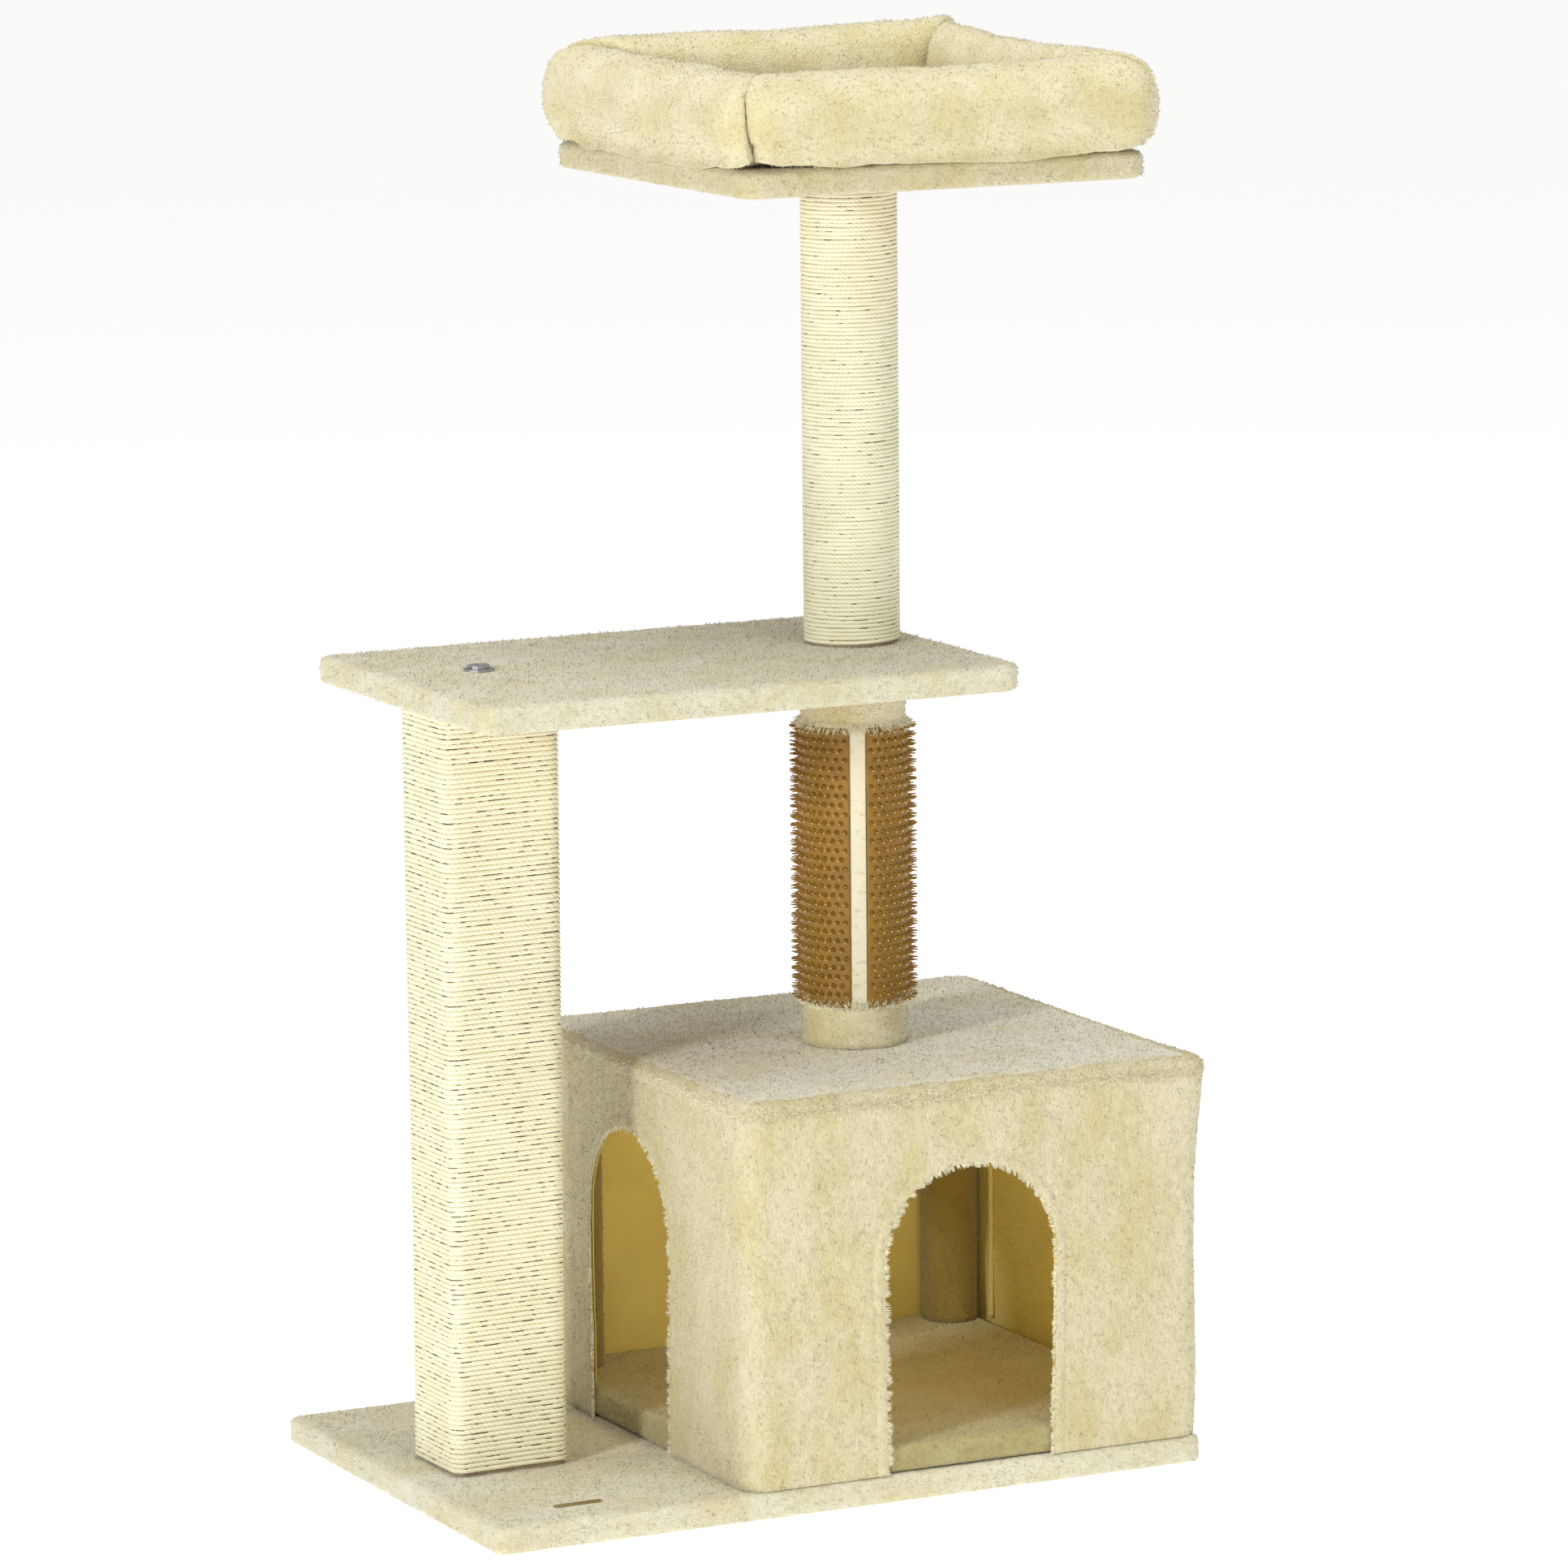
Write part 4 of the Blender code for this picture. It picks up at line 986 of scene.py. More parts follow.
roof_centres = np.empty(len(roof.data.polygons) * 3, np.float32)
roof.data.polygons.foreach_get("center", roof_centres)
on_top = on_roof_top(roof_centres.reshape(-1, 3))
roof.data.polygons.foreach_set("material_index", on_top.astype(np.int32))
roof_hair = pile_on(roof, roof_shades, (-0.15, -0.25, 0), 36, keep=on_roof_top)
shoulder_hair = pile_on(
    roof, wall_shades, (0, -0.1, -0.1), 37, keep=lambda roots: ~on_roof_top(roots), density=2 * PILE_DENSITY
)
shoulder_hair.name = "house_roof_shoulder_pile"
# The seam's tufts emit light: painted light that lifts the shade along the seam.
seam_shades = tuft_shades("seam_pile", WALL_PLUSH, painted_light=0.38)
rng = np.random.default_rng(38)
seam_count = int(WALL_ROUND * SEAM_TUFTS_PER_M)
seam_along = rng.uniform(0, WALL_ROUND, seam_count)
seam_level = WALL_HIGH[2] + rng.normal(size=seam_count) * SEAM_SPREAD
seam_roots, seam_out = wall_place(seam_along, seam_level, np.zeros(seam_count))
seam_out = np.concatenate((seam_out, np.zeros((seam_count, 1))), -1)
seam_leans = seam_out * 0.2 + rng.normal(size=(seam_count, 3)) * 0.45 + np.array((0, 0, -0.25))
seam_leans += seam_out * np.maximum(0.25 - (seam_leans * seam_out).sum(axis=1), 0)[:, None]
seam_lengths = SEAM_TUFT * rng.uniform(0.6, 1.2, seam_count)
seam_widths = PILE_WIDTH * rng.uniform(0.9, 1.6, seam_count)
seam_hair = tufts(
    "house_roof_seam_pile", seam_roots, seam_out, seam_leans, seam_lengths, seam_widths, seam_shades, 39
)


# ---------------------------------------------------------------------------------------------
# Square column. A card core is wound from base to shelf with one length of cream paper rope, laid
# turn on turn. Wooden plugs close the core, and a bolt and washer hold it at each end.
# ---------------------------------------------------------------------------------------------
def card_board():
    """Grey-brown wound card with a faint fibre grain."""
    finish, shader, tree = new_finish("card_tube", (0.40, 0.31, 0.20), 0.85)
    fibres = link_noise(tree, 340, 3, (1, 1, 3))
    tones = ((0.35, (0.34, 0.26, 0.16)), (0.65, (0.45, 0.36, 0.24)))
    tree.links.new(link_ramp(tree, fibres, tones), shader.inputs["Base Color"])
    link_bump(tree, shader, fibres, 0.2, 0.0003)
    return finish


GAP_SHADE = (0.17, 0.14, 0.06)


def paper_rope(name, colour, lay, pitch, gap_share):
    """Twisted paper rope. On its UV map, U runs along the rope in metres and V once round it. The
    strands are ridges at a slant, lay metres apart along the rope, with painted shade in the grooves
    between them. Where two turns touch, short dark dashes of painted shadow show for part of the way,
    for the shade in the gaps between the turns."""
    finish, shader, tree = new_finish(name, colour, 0.72, Specular_IOR_Level=0.25)
    uv = tree.nodes.new("ShaderNodeUVMap")
    uv.uv_map = "rope"
    axes = tree.nodes.new("ShaderNodeSeparateXYZ")
    tree.links.new(uv.outputs["UV"], axes.inputs["Vector"])
    turns = link_math(tree, "MULTIPLY", axes.outputs["X"], 1 / lay)
    slant = link_math(tree, "MULTIPLY_ADD", axes.outputs["Y"], 3.0, turns)
    wave = link_math(tree, "SINE", link_math(tree, "MULTIPLY", slant, math.pi))
    strands = link_math(tree, "ABSOLUTE", wave)
    side = link_math(tree, "SINE", link_math(tree, "MULTIPLY", axes.outputs["Y"], math.tau))
    groove = link_math(tree, "GREATER_THAN", link_math(tree, "ABSOLUTE", side), 0.80)
    open_here = link_noise(tree, 1.0, 1, (120, 120, 1 / pitch))
    # The dashes are painted shadow, in GAP_SHADE, where turns touch.
    gap = link_math(tree, "MULTIPLY", groove, link_math(tree, "GREATER_THAN", open_here, gap_share))
    # The grooves between the strands are painted darker: painted shade.
    stops = ((0.0, scaled(colour, 0.82)), (0.45, colour), (1.0, scaled(colour, 1.05)))
    tones = link_ramp(tree, strands, stops)
    patches = link_ramp(tree, link_noise(tree, 30, 3), ((0.35, (0.93, 0.92, 0.87)), (0.65, UNTINTED)))
    tones = link_mix(tree, "MULTIPLY", 0.9, tones, patches)
    tree.links.new(link_mix(tree, "MIX", gap, tones, GAP_SHADE), shader.inputs["Base Color"])
    fibres = link_noise(tree, 1600, 2, (1, 1, 2))
    height = link_math(tree, "MULTIPLY_ADD", fibres, 0.25, strands)
    link_bump(tree, shader, height, 0.7, 0.0004)
    return finish


def uneven(rng, count, every):
    """A slow wobble along count points: a normal draw at every few of them, and even steps between."""
    knots = np.arange(0, count + 2 * every, every)
    return np.interp(np.arange(count), knots, rng.normal(size=len(knots)))


ROPE_SLACK, ROPE_SLACK_CAP = 0.00011, 1.6
ROPE_UNEVEN = 0.035
ROPE_FLATTER, ROPE_TALLER = 0.94, 1.03


def wind_rope(name, node, finish, outline, length_round, radius, pitch, per_turn, seed, sides=8):
    """One rope wound up a post. Its middle follows outline(distance round the post) while it rises
    a pitch each turn, with a little slack up and down, and its section is a circle in the upright
    plane that faces outwards. outline gives the middle's x and y and the outward direction."""
    low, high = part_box(node)
    turns = (high[2] - low[2] - 2 * radius) / pitch
    count = int(turns * per_turn) + 1
    turn = np.linspace(0, turns, count)
    middle, facing = outline(turn * length_round)
    rng = np.random.default_rng(seed)
    slack = np.clip(uneven(rng, count, 3), -ROPE_SLACK_CAP, ROPE_SLACK_CAP)
    rise = low[2] + radius + turn * pitch + slack * ROPE_SLACK
    thick = radius * (1 + ROPE_UNEVEN * uneven(rng, count, 4))
    angle = np.arange(sides) * math.tau / sides
    outward = thick[:, None] * np.cos(angle) * ROPE_FLATTER
    upward = radius * ROPE_TALLER * np.sin(angle)[None, :] + 0 * outward
    points = np.stack((
        middle[:, 0, None] + facing[:, 0, None] * outward,
        middle[:, 1, None] + facing[:, 1, None] * outward,
        np.clip(rise[:, None] + upward, low[2], high[2]),
    ), -1).reshape(-1, 3)
    quads = grid_quads(count, sides, around=True)[:, ::-1]
    rope = put_mesh(name, points, [quads, end_caps(count, sides)[:, ::-1]], finish)
    u = np.stack((turn[:-1], turn[:-1], turn[1:], turn[1:]), -1) * length_round
    corner = np.arange(sides)
    v = np.stack((corner, corner + 1, corner + 1, corner), -1) / sides
    uv = np.stack((np.repeat(u, sides, axis=0), np.tile(v, (count - 1, 1))), -1)[:, ::-1]
    uv = np.concatenate((uv.reshape(-1, 2), np.zeros((2 * sides, 2))))
    rope.data.uv_layers.new(name="rope").uv.foreach_set("vector", uv.astype(np.float32).ravel())
    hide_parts(node)
    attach(rope, "root")


card = card_board()
COLUMN_PITCH = 0.0038
COLUMN_LOW, COLUMN_HIGH = (np.array(side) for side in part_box("column_rope"))
COLUMN_CORNER = 0.007
ROPE_CREAM = (0.860, 0.830, 0.620)


def round_square(distance):
    """A rectangle with quarter-circle corners, followed counter-clockwise: the place and outward
    direction at a distance along it, on the rope's middle line."""
    half = (COLUMN_HIGH[:2] - COLUMN_LOW[:2]) / 2 - COLUMN_PITCH / 2
    corner = COLUMN_CORNER - COLUMN_PITCH / 2
    core = half - corner
    arc = corner * math.pi / 2
    lengths = np.array((2 * core[1], arc, 2 * core[0], arc, 2 * core[1], arc, 2 * core[0], arc))
    ends = np.concatenate(((0.0,), np.cumsum(lengths)))
    past = distance % ends[-1]
    stage = np.clip(np.searchsorted(ends, past, side="right") - 1, 0, 7)
    share = (past - ends[stage]) / lengths[stage]
    side = stage // 2
    faces = np.array(((1, 0), (0, 1), (-1, 0), (0, -1)))
    ways = np.array(((0, 1), (-1, 0), (0, -1), (1, 0)))
    starts = core * np.array(((1, -1), (1, 1), (-1, 1), (-1, -1)))
    straight = (stage % 2 == 0)[:, None]
    angle = (share * math.pi / 2)[:, None]
    run = np.where(side % 2 == 0, 2 * core[1], 2 * core[0])[:, None]
    on_side = starts[side] + ways[side] * share[:, None] * run
    facing = np.where(straight, faces[side], faces[side] * np.cos(angle) + ways[side] * np.sin(angle))
    pivot = np.where(straight, on_side, starts[side] + ways[side] * run)
    centre = (COLUMN_LOW[:2] + COLUMN_HIGH[:2]) / 2
    return centre + pivot + facing * corner, facing


COLUMN_GIRTH = 2 * (COLUMN_HIGH[0] - COLUMN_LOW[0] + COLUMN_HIGH[1] - COLUMN_LOW[1] - 4 * COLUMN_CORNER)
COLUMN_GIRTH += math.tau * (COLUMN_CORNER - COLUMN_PITCH / 2)
column_paper = paper_rope("column_rope_paper", ROPE_CREAM, 0.0045, COLUMN_PITCH, 0.585)
wind_rope(
    "column_winding", "column_rope", column_paper, round_square, COLUMN_GIRTH, COLUMN_PITCH / 2,
    COLUMN_PITCH, 44, 91,
)
refinish(card, "column_core")
refinish(pine, "column_lower_plug", "column_upper_plug")
refinish(zinc, "column_base_bolt", "column_base_washer", "column_shelf_bolt", "column_shelf_washer")


# ---------------------------------------------------------------------------------------------
# Brush post. A card tube in a plush sleeve stands on the roof. A sheet of moulded rubber spikes is
# glued round it, and a smooth strip closes the joint. The sleeve's pile overhangs both ends.
# ---------------------------------------------------------------------------------------------
POST_AXIS = (0.0931, -0.0154)
COLLAR_PLUSH = (0.760, 0.700, 0.470)
collar_plush = plush("collar_plush", COLLAR_PLUSH)
collar_shades = tuft_shades("collar_pile", COLLAR_PLUSH)
# The fluff emits light: painted light, for the light through its thin loose fibres.
fluff_shades = tuft_shades("collar_fluff", COLLAR_PLUSH, painted_light=0.20)
SHEET_LOW, SHEET_HIGH = 0.357, 0.577
FLUFF_COUNT = 2600
FLUFF_R = 0.0408
FLUFF_DEPTH = 0.0035
FLUFF_LENGTH = 0.0082
FLUFF_WIDTH = 0.0012
turned_sleeve(
    "brush_post_plush", "brush_post_sleeve", POST_AXIS, 101, collar_plush, collar_shades,
    keep=lambda roots: (roots[:, 2] < SHEET_LOW) | (roots[:, 2] > SHEET_HIGH), around=96,
)
rng = np.random.default_rng(105)
for number, (name, edge_level, way) in enumerate((("lower", SHEET_LOW, 1), ("upper", SHEET_HIGH, -1))):
    angle = rng.uniform(0, math.tau, FLUFF_COUNT)
    up = np.stack((np.cos(angle), np.sin(angle), 0 * angle), -1)
    back = rng.uniform(0.0, FLUFF_DEPTH, FLUFF_COUNT)
    roots = np.column_stack((np.array(POST_AXIS) + FLUFF_R * up[:, :2], edge_level - way * back))
    leans = up * rng.uniform(0.35, 0.8, (FLUFF_COUNT, 1)) + rng.normal(size=(FLUFF_COUNT, 3)) * 0.22
    leans[:, 2] += way * rng.uniform(0.5, 1.2, FLUFF_COUNT)
    lengths = FLUFF_LENGTH * rng.uniform(0.35, 1.15, FLUFF_COUNT)
    widths = FLUFF_WIDTH * rng.uniform(0.7, 1.3, FLUFF_COUNT)
    fluff = tufts(f"{name}_collar_fluff", roots, up, leans, lengths, widths, fluff_shades, 107 + number)

SPIKE_ROWS = 31
SPIKE_COLUMNS = 37
STRIP_TURN = math.radians(248)
STRIP_HALF_W = 0.0066
STRIP_R = 0.0415
STRIP_HALF_TURN = STRIP_HALF_W / STRIP_R
SHEET_IN_R = 0.0418
SHEET_OUT_R = 0.0430
SHEET_AROUND, SHEET_ROWS = 120, 60


def brush_rubber(name, colour):
    """Moulded rubber, slightly waxy, with a dusty bloom."""
    finish, shader, tree = new_finish(name, colour, 0.48, Specular_IOR_Level=0.35)
    bloom = link_ramp(
        tree, link_noise(tree, 70, 3), ((0.35, scaled(colour, 0.88)), (0.65, scaled(colour, 1.08)))
    )
    tree.links.new(bloom, shader.inputs["Base Color"])
    link_bump(tree, shader, link_noise(tree, 500, 2), 0.15, 0.0003)
    return finish


RUBBER = (0.275, 0.145, 0.016)
rubber = brush_rubber("brush_rubber", RUBBER)
# The spike tips take a lighter, glossier material: a painted highlight.
tip_highlight, *_ = new_finish("brush_tip_rubber", (0.86, 0.64, 0.34), 0.30)
sheet_turn = STRIP_TURN + STRIP_HALF_TURN + np.linspace(0, math.tau - 2 * STRIP_HALF_TURN, SHEET_AROUND)
sheet_level = np.linspace(SHEET_LOW, SHEET_HIGH, SHEET_ROWS)
turn_grid, level_grid = np.meshgrid(sheet_turn, sheet_level)
sheet_points = np.stack((
    POST_AXIS[0] + SHEET_OUT_R * np.cos(turn_grid), POST_AXIS[1] + SHEET_OUT_R * np.sin(turn_grid), level_grid
), -1).reshape(-1, 3)
brush_sheet = put_mesh("brush_sheet", sheet_points, grid_quads(SHEET_ROWS, SHEET_AROUND), rubber)
give_thickness(brush_sheet, SHEET_OUT_R - SHEET_IN_R)
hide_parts("groomer_sheet")
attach(brush_sheet, "root")

# The spikes: rings of six points at set heights up a leaning axis, wide at the foot and nearly as
# thin as their tip from halfway. Every other row is set half a column on.
SPIKE_SINK = 0.0003
SPIKE_LEAN = 0.09
SPIKE_HEIGHTS = np.array((0.0, 0.0012, 0.0034, 0.0066, 0.0072))
SPIKE_RADII = np.array((0.0024, 0.00115, 0.00068, 0.00054, 0.00044))
SPIKE_SIDES = 6
row, column = np.meshgrid(np.arange(SPIKE_ROWS), np.arange(SPIKE_COLUMNS), indexing="ij")
row, column = row.ravel(), column.ravel()
row_pitch = (SHEET_HIGH - SHEET_LOW) / SPIKE_ROWS
column_turn = (math.tau - 2 * STRIP_HALF_TURN) / (SPIKE_COLUMNS + 0.5)
spike_turn = STRIP_TURN + STRIP_HALF_TURN + column_turn * (column + 0.5 + 0.5 * (row % 2))
spike_level = SHEET_LOW + row_pitch * (row + 0.5)
outward = np.stack((np.cos(spike_turn), np.sin(spike_turn), 0 * spike_turn), -1)
spike_foot = np.column_stack((np.array(POST_AXIS) + (SHEET_OUT_R - SPIKE_SINK) * outward[:, :2], spike_level))
lean = outward + rng.normal(size=outward.shape) * SPIKE_LEAN
lean /= np.linalg.norm(lean, axis=1)[:, None]
sideways = np.cross(lean, (0.0, 0.0, 1.0))
sideways /= np.linalg.norm(sideways, axis=1)[:, None]
upright = np.cross(sideways, lean)
angle = np.arange(SPIKE_SIDES) * math.tau / SPIKE_SIDES
ring = np.cos(angle)[:, None] * sideways[:, None, None, :]
ring = ring + np.sin(angle)[:, None] * upright[:, None, None, :]
axis_points = spike_foot[:, None, None, :] + SPIKE_HEIGHTS[:, None, None] * lean[:, None, None, :]
spike_points = axis_points + ring * SPIKE_RADII[:, None, None]
each = len(SPIKE_HEIGHTS) * SPIKE_SIDES
pattern = grid_quads(len(SPIKE_HEIGHTS), SPIKE_SIDES, around=True)
lids = end_caps(len(SPIKE_HEIGHTS), SPIKE_SIDES)
starts = (np.arange(len(row)) * each)[:, None, None]
spike_faces = [(starts + pattern).reshape(-1, 4), (starts + lids).reshape(-1, SPIKE_SIDES)]
spikes = put_mesh("brush_spikes", spike_points.reshape(-1, 3), spike_faces, rubber, tip_highlight)
# The tips' faces, which take the painted highlight.
tip_highlight_faces = np.concatenate((
    np.tile(np.arange(len(pattern)) >= len(pattern) - SPIKE_SIDES, len(row)), np.tile((False, True), len(row))
))
spikes.data.polygons.foreach_set("material_index", tip_highlight_faces.astype(np.int32))
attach(spikes, "root")


def strip_tape():
    """A smooth cream tape with faint darker patches."""
    finish, shader, tree = new_finish("closing_strip", (0.72, 0.68, 0.50), 0.45)
    dark_patches = link_noise(tree, 120, 2, (1, 1, 2.5))
    tones = ((0.30, (0.60, 0.55, 0.38)), (0.42, (0.73, 0.69, 0.51)))
    tree.links.new(link_ramp(tree, dark_patches, tones), shader.inputs["Base Color"])
    link_bump(tree, shader, link_noise(tree, 700, 2), 0.1, 0.0002)
    return finish


refinish(strip_tape(), "groomer_strip")
refinish(card, "brush_post_core")
refinish(pine, "brush_post_lower_plug", "brush_post_upper_plug")
refinish(zinc, "roof_bolt", "roof_washer")


# ---------------------------------------------------------------------------------------------
# Shelf. Another wrapped board is bolted to the column's top and clamped between the two round
# posts by the stud that joins them.
# ---------------------------------------------------------------------------------------------
SHELF_PLUSH = (0.665, 0.640, 0.475)
shelf_plush = plush("shelf_plush", SHELF_PLUSH)
shelf_shades = tuft_shades("shelf_pile", SHELF_PLUSH)
wrapped_panel("shelf_plush", "shelf_cover", 0.014, 0.0075, shelf_plush, shelf_shades, 121)
refinish(zinc, "shelf_stud")


# ---------------------------------------------------------------------------------------------
# Upper post. A card tube wound with a finer paper rope stands on the shelf and carries the bed.
# ---------------------------------------------------------------------------------------------
UPPER_PITCH = 0.0032
UPPER_ROPE_R = UPPER_PITCH / 2
upper_low, upper_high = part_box("upper_post_rope")
UPPER_MIDDLE_R = (upper_high[0] - upper_low[0]) / 2 - UPPER_ROPE_R


def round_post(distance):
    """A circle followed counter-clockwise, on the rope's middle line."""
    angle = distance / UPPER_MIDDLE_R
    facing = np.stack((np.cos(angle), np.sin(angle)), -1)
    return np.array(POST_AXIS) + facing * UPPER_MIDDLE_R, facing


upper_paper = paper_rope("upper_rope_paper", (0.860, 0.845, 0.650), 0.0038, UPPER_PITCH, 0.66)
wind_rope(
    "upper_post_winding", "upper_post_rope", upper_paper, round_post, math.tau * UPPER_MIDDLE_R, UPPER_ROPE_R,
    UPPER_PITCH, 52, 131,
)
refinish(card, "upper_post_core")
refinish(pine, "upper_post_lower_plug", "upper_post_upper_plug")


# ---------------------------------------------------------------------------------------------
# Bed. A wrapped panel is bolted to the upper post. On it sits a stuffed plush rim of four bars,
# sewn together at mitred corners and to the panel's cover.
# ---------------------------------------------------------------------------------------------
BED_PLUSH = (0.610, 0.545, 0.345)
RIM_PLUSH = (0.680, 0.615, 0.390)
bed_plush = plush("bed_plush", BED_PLUSH)
bed_shades = tuft_shades("bed_pile", BED_PLUSH)
wrapped_panel("bed_plush", "bed_cover", 0.018, 0.0095, bed_plush, bed_shades, 141)
rim_plush = plush("rim_plush", RIM_PLUSH, shade_between=(0.88, 0.86, 0.78))
rim_shades = tuft_shades("rim_pile", RIM_PLUSH)
refinish(zinc, "bed_bolt", "bed_washer")

RIM_W = 0.062
RIM_ROUND_TOP = 2.5
RIM_ROUND_FOOT = 4.6
RIM_CORNER = 0.030
RIM_GAP = 0.0002
# Where the hand-sewn end seams lie beside their mitres, at the top and at the foot.
STRAIGHT_SEAM = (0.0, 0.0)
DRIFTING_SEAM = (0.0, 0.010)
OFFSET_SEAM = (0.015, 0.013)
bed_low, bed_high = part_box("bed_cover")
bed_middle = np.array(((bed_low[0] + bed_high[0]) / 2, (bed_low[1] + bed_high[1]) / 2))
RIM_HALF = np.array((0.1815, 0.1780))
RIM_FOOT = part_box("bed_bolster_front")[0][2]


def seam_shift(right_end, level, shifts):
    """How far a bar's end seam lies short of the 45 degree mitre. Each end has a shift at the top
    and one at the foot, with half a cosine wave between them; level runs from 0 to 1."""
    top = np.where(right_end, shifts[1][0], shifts[0][0])
    foot = np.where(right_end, shifts[1][1], shifts[0][1])
    return top + (foot - top) * (0.5 + 0.5 * np.cos(math.pi * level))


def mitre(depth, half_length, shift):
    """How far a bar reaches along its side at a depth in from its outer face, cut at 45 degrees."""
    return half_length - depth - RIM_GAP - shift


END_SPARE = 0.010
RIM_STATIONS = 57
RIM_AROUND = 40
RIM_EMPTY = 0.06


def rim_bar(half_length, half_depth, height, slimmer, shifts):
    """A stuffed bar along X on the -Y side, in the rim's own frame. Round each section, depth and
    level follow a superellipse, slimmer by a share than the full bar, and stations run from mitre
    to mitre and a little past them."""
    angle = np.arange(RIM_AROUND) * math.tau / RIM_AROUND
    roundness = np.where(np.sin(angle) > 0, RIM_ROUND_TOP, RIM_ROUND_FOOT)
    cosine = np.sign(np.cos(angle)) * np.abs(np.cos(angle)) ** (2 / roundness)
    sine = np.sign(np.sin(angle)) * np.abs(np.sin(angle)) ** (2 / roundness)
    station = np.linspace(-1, 1, RIM_STATIONS)[:, None]
    depth = RIM_W / 2 * (1 - cosine * (1 - slimmer)) + 0 * station
    level = height / 2 * (1 + sine * (1 - slimmer)) + 0 * station
    shift = seam_shift(station > 0, level / height, shifts)
    along = station * (mitre(depth, half_length, shift) + END_SPARE)
    points = np.stack((along, depth - half_depth, level), -1).reshape(-1, 3)
    quads = grid_quads(RIM_STATIONS, RIM_AROUND, around=True)
    return points, [quads, end_caps(RIM_STATIONS, RIM_AROUND)[:, ::-1]]


def round_plan(points, half_length, half_depth):
    """The square corners of a plan pulled onto quarter circles: beyond a corner's centre, a point at
    max(|dx|, |dy|) from it goes to that distance from it in its own direction."""
    core = np.array((half_length, half_depth)) - RIM_CORNER
    anchor = np.clip(points[:, :2], -core, core)
    offset = points[:, :2] - anchor
    square = np.abs(offset).max(axis=1, keepdims=True)
    plan = anchor + offset / np.maximum(np.linalg.norm(offset, axis=1, keepdims=True), 1e-12) * square
    return np.column_stack((plan, points[:, 2]))


MERGE_WITHIN = 0.0009
FLAT_WITHIN = 0.0002


def close_ends(piece):
    """Merge the points that were pressed together against the mitres, and drop flat faces."""
    shell = bmesh.new()
    shell.from_mesh(piece.data)
    bmesh.ops.remove_doubles(shell, verts=shell.verts, dist=MERGE_WITHIN)
    bmesh.ops.dissolve_degenerate(shell, edges=shell.edges, dist=FLAT_WITHIN)
    shell.to_mesh(piece.data)
    shell.free()
    piece.data.update()


FILLING_PRESSURE = 4.0
FILLING_STEPS = 20
EVEN_CELL = 0.0045


def copy_of_result(piece):
    """A mesh of the piece as its modifiers leave it."""
    return bpy.data.meshes.new_from_object(piece.evaluated_get(bpy.context.evaluated_depsgraph_get()))


def stuff(piece, cap):
    """Fill a bar as a cushion is filled: remesh it evenly, let pressure swell it as cloth, and let
    no point move further than cap from where it started."""
    remesh = piece.modifiers.new("even", "REMESH")
    remesh.mode = "VOXEL"
    remesh.voxel_size = EVEN_CELL
    even = copy_of_result(piece)
    piece.modifiers.clear()
    piece.data = even
    start = points_of(piece)
    cloth = piece.modifiers.new("filling", "CLOTH")
    cloth.settings.use_pressure = True
    cloth.settings.uniform_pressure_force = FILLING_PRESSURE
    cloth.settings.effector_weights.gravity = 0
    cloth.point_cache.frame_start = 1
    cloth.point_cache.frame_end = FILLING_STEPS
    for step in range(1, FILLING_STEPS + 1):
        bpy.context.scene.frame_set(step)
    swollen = copy_of_result(piece)
    piece.modifiers.clear()
    piece.data = swollen
    bpy.context.scene.frame_set(1)
    moved = points_of(piece) - start
    far = np.linalg.norm(moved, axis=1)[:, None]
    return start + moved * np.minimum(1, cap / np.maximum(far, 1e-9))


def other_way(seam):
    """The same seam as the bar on its other side has it."""
    return (-seam[0], -seam[1])


RIM_SIDES = (
    ("front", 0, (DRIFTING_SEAM, STRAIGHT_SEAM)),
    ("right", 1, (STRAIGHT_SEAM, OFFSET_SEAM)),
    ("back", 2, (other_way(OFFSET_SEAM), STRAIGHT_SEAM)),
    ("left", 3, (STRAIGHT_SEAM, other_way(DRIFTING_SEAM))),
)
SWELL_CAP = 0.006
OUTER_CROWN = 0.006
# The rim's height at each corner, so that both bars are equally high at their mitre.
CORNER_HEIGHTS = {"front_left": 0.0700, "front_right": 0.0745, "back_right": 0.0850, "back_left": 0.0765}
RIM_ENDS = {
    "front": ("front_left", "front_right"),
    "right": ("front_right", "back_right"),
    "back": ("back_right", "back_left"),
    "left": ("back_left", "front_left"),
}
# The bars' lower outer fold is FOOT_FOLD high. It reaches out to OVERHANG from the bar's face, and
# over the panel's round edge, PANEL_EDGE wide, it hangs down by SAG.
FOOT_FOLD = 0.016
OVERHANG = 0.0035
PANEL_EDGE = 0.0155
SAG = 0.0030
SAG_CURVE = 2.6
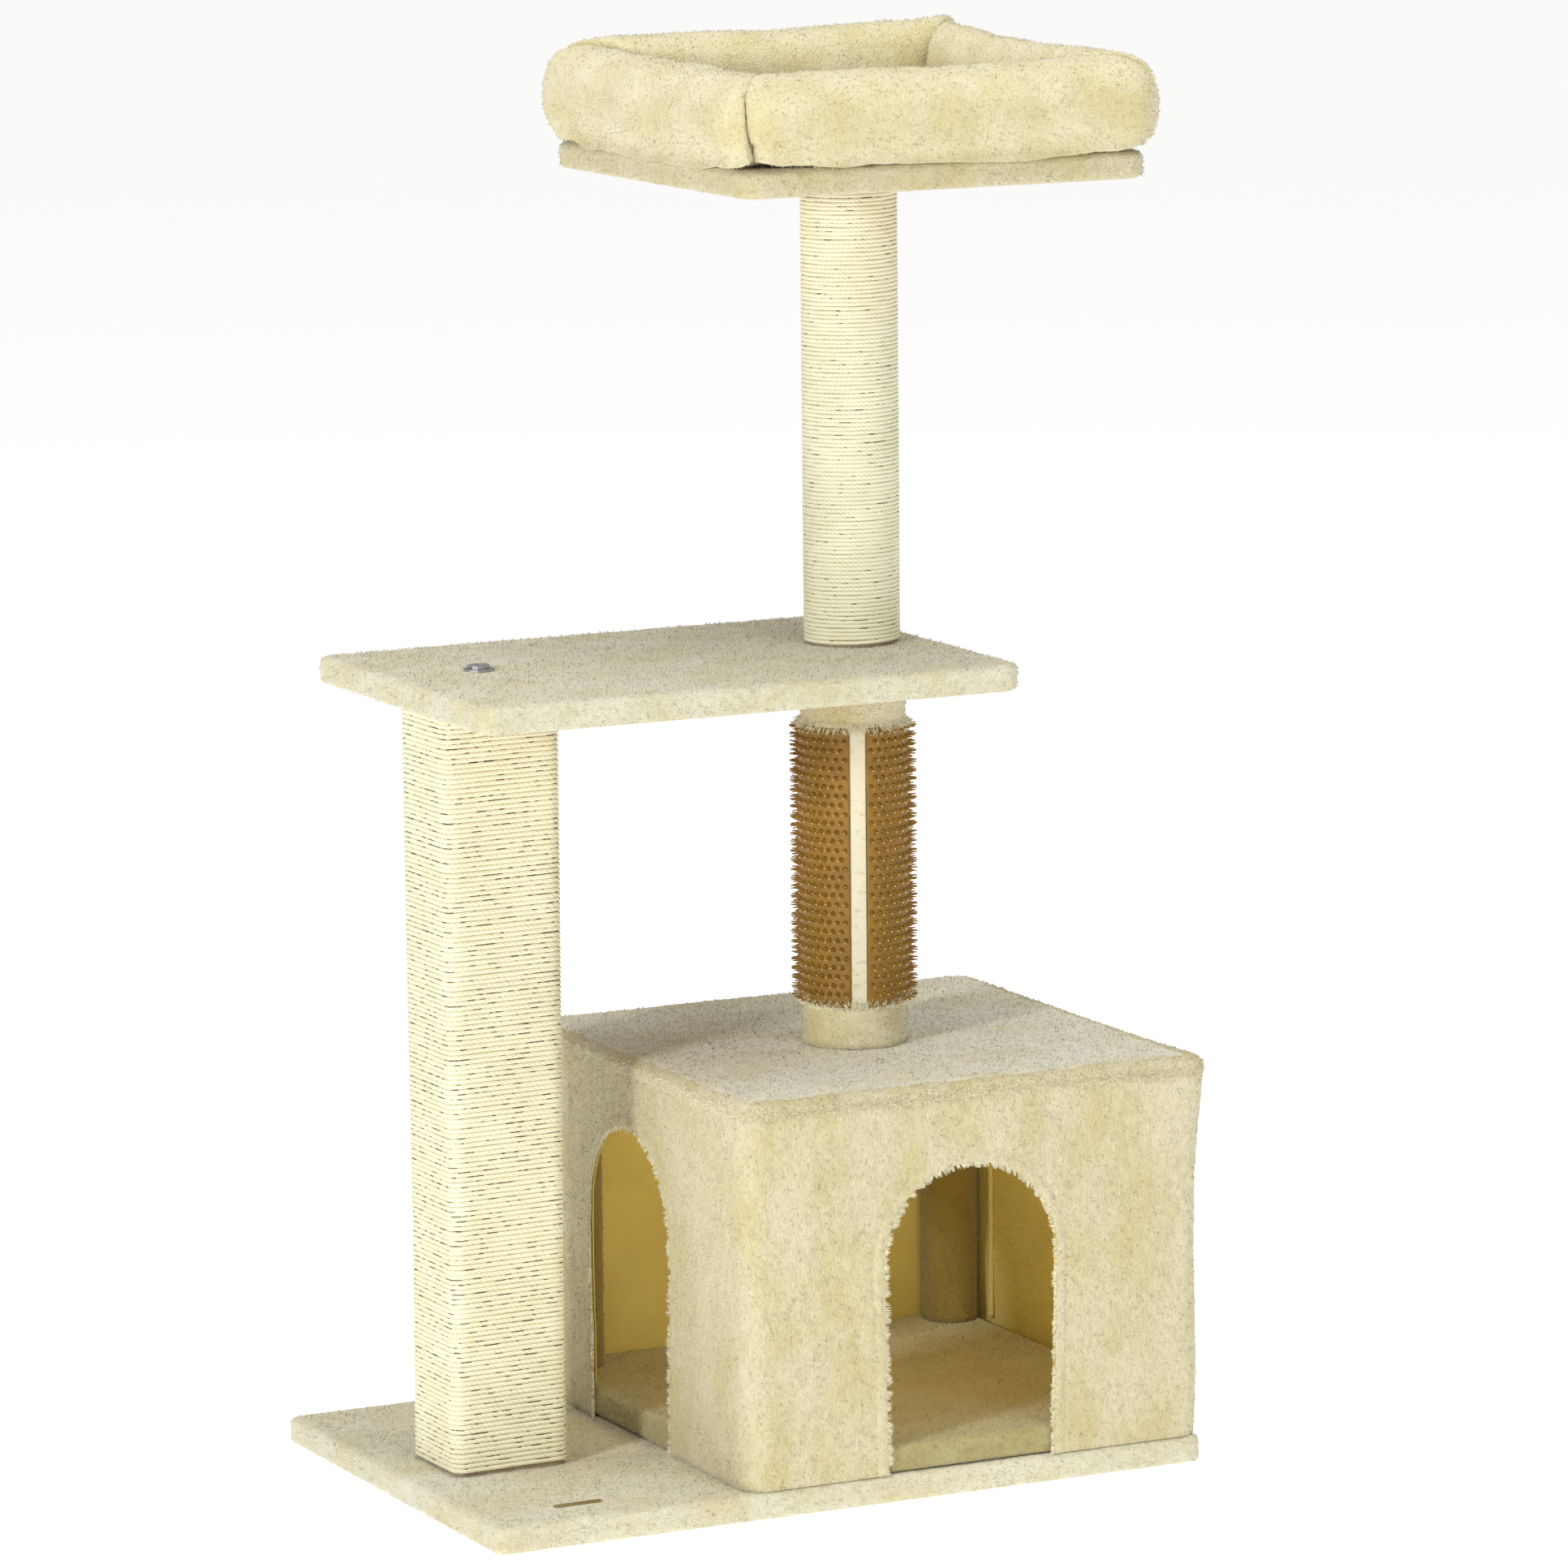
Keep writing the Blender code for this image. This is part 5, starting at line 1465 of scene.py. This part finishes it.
# The filling's big and small lumps, which fade out near a seam, and the seam's own groove.
LUMP, LUMP_SIZE = 0.0020, 0.045
SMALL_LUMP, SMALL_LUMP_SIZE = 0.0009, 0.018
LUMP_FADE = 0.018
SEAM_DEPTH, SEAM_WIDTH = 0.0016, 0.003
for side, quarter, shifts in RIM_SIDES:
    half_length, half_depth = RIM_HALF if quarter % 2 == 0 else RIM_HALF[::-1]
    side_low, side_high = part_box(f"bed_bolster_{side}")
    height = side_high[2] - side_low[2]
    slimmer = RIM_EMPTY
    bar_points, bar_faces = rim_bar(half_length, half_depth, height, slimmer, shifts)
    bar = put_mesh(f"bed_rim_{side}", bar_points, bar_faces, rim_plush)
    bar_points = stuff(bar, SWELL_CAP)
    bar_points[:, 2] = np.interp(bar_points[:, 2], (bar_points[:, 2].min(), bar_points[:, 2].max()), (0, 1))
    share = np.clip(bar_points[:, 0] / half_length, -1, 1)
    ends = np.where(share > 0, CORNER_HEIGHTS[RIM_ENDS[side][1]], CORNER_HEIGHTS[RIM_ENDS[side][0]])
    crest = height + (ends - height) * share**2
    bar_points[:, 2] *= crest
    move_points(bar, bar_points)
    shift = seam_shift(bar_points[:, 0] > 0, np.clip(bar_points[:, 2] / crest, 0, 1), shifts)
    reach = mitre(bar_points[:, 1] + half_depth, half_length, shift)
    to_seam = np.maximum(reach - np.abs(bar_points[:, 0]), 0)
    lumps = LUMP * lattice_noise(bar_points, LUMP_SIZE, 150 + quarter)
    lumps = lumps + SMALL_LUMP * lattice_noise(bar_points, SMALL_LUMP_SIZE, 160)
    lumps *= 1 - np.exp(-((to_seam / LUMP_FADE) ** 2))
    lumps -= SEAM_DEPTH * np.exp(-((to_seam / SEAM_WIDTH) ** 2))
    bar_points = bar_points + normals_of(bar) * lumps[:, None]
    depth = bar_points[:, 1] + half_depth
    crown = np.sin(math.pi * np.clip(bar_points[:, 2] / crest, 0, 1)) * np.clip(1 - depth / (RIM_W / 2), 0, 1)
    depth -= OUTER_CROWN * crown
    bar_points[:, 2] = np.maximum(bar_points[:, 2], 0)
    foot = np.clip(1 - bar_points[:, 2] / FOOT_FOLD, 0, 1)
    depth = np.where(depth < RIM_W / 2, depth * (1 - foot) + np.minimum(depth, OVERHANG) * foot, depth)
    over_edge = np.clip(1 - (depth - OVERHANG) / PANEL_EDGE, 0, 1)
    bar_points[:, 2] -= SAG * over_edge**SAG_CURVE * foot
    reach = mitre(depth, half_length, shift)
    bar_points[:, 0] = np.sign(bar_points[:, 0]) * np.minimum(np.abs(bar_points[:, 0]), reach)
    bar_points[:, 1] = depth - half_depth
    bar_points = round_plan(bar_points, half_length, half_depth)
    turn = quarter * math.pi / 2
    x = bar_points[:, 0] * math.cos(turn) - bar_points[:, 1] * math.sin(turn)
    y = bar_points[:, 0] * math.sin(turn) + bar_points[:, 1] * math.cos(turn)
    bar_points = np.stack((x + bed_middle[0], y + bed_middle[1], bar_points[:, 2] + RIM_FOOT), -1)
    move_points(bar, bar_points)
    close_ends(bar)
    bar.data.materials.clear()
    bar.data.materials.append(rim_plush)
    bar.data.shade_smooth()
    pile_on(
        bar, rim_shades, (0, 0, -0.2), 170 + quarter, keep=lambda roots: roots[:, 2] > RIM_FOOT + 0.001,
    )
    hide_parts(f"bed_bolster_{side}")
    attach(bar, "root")
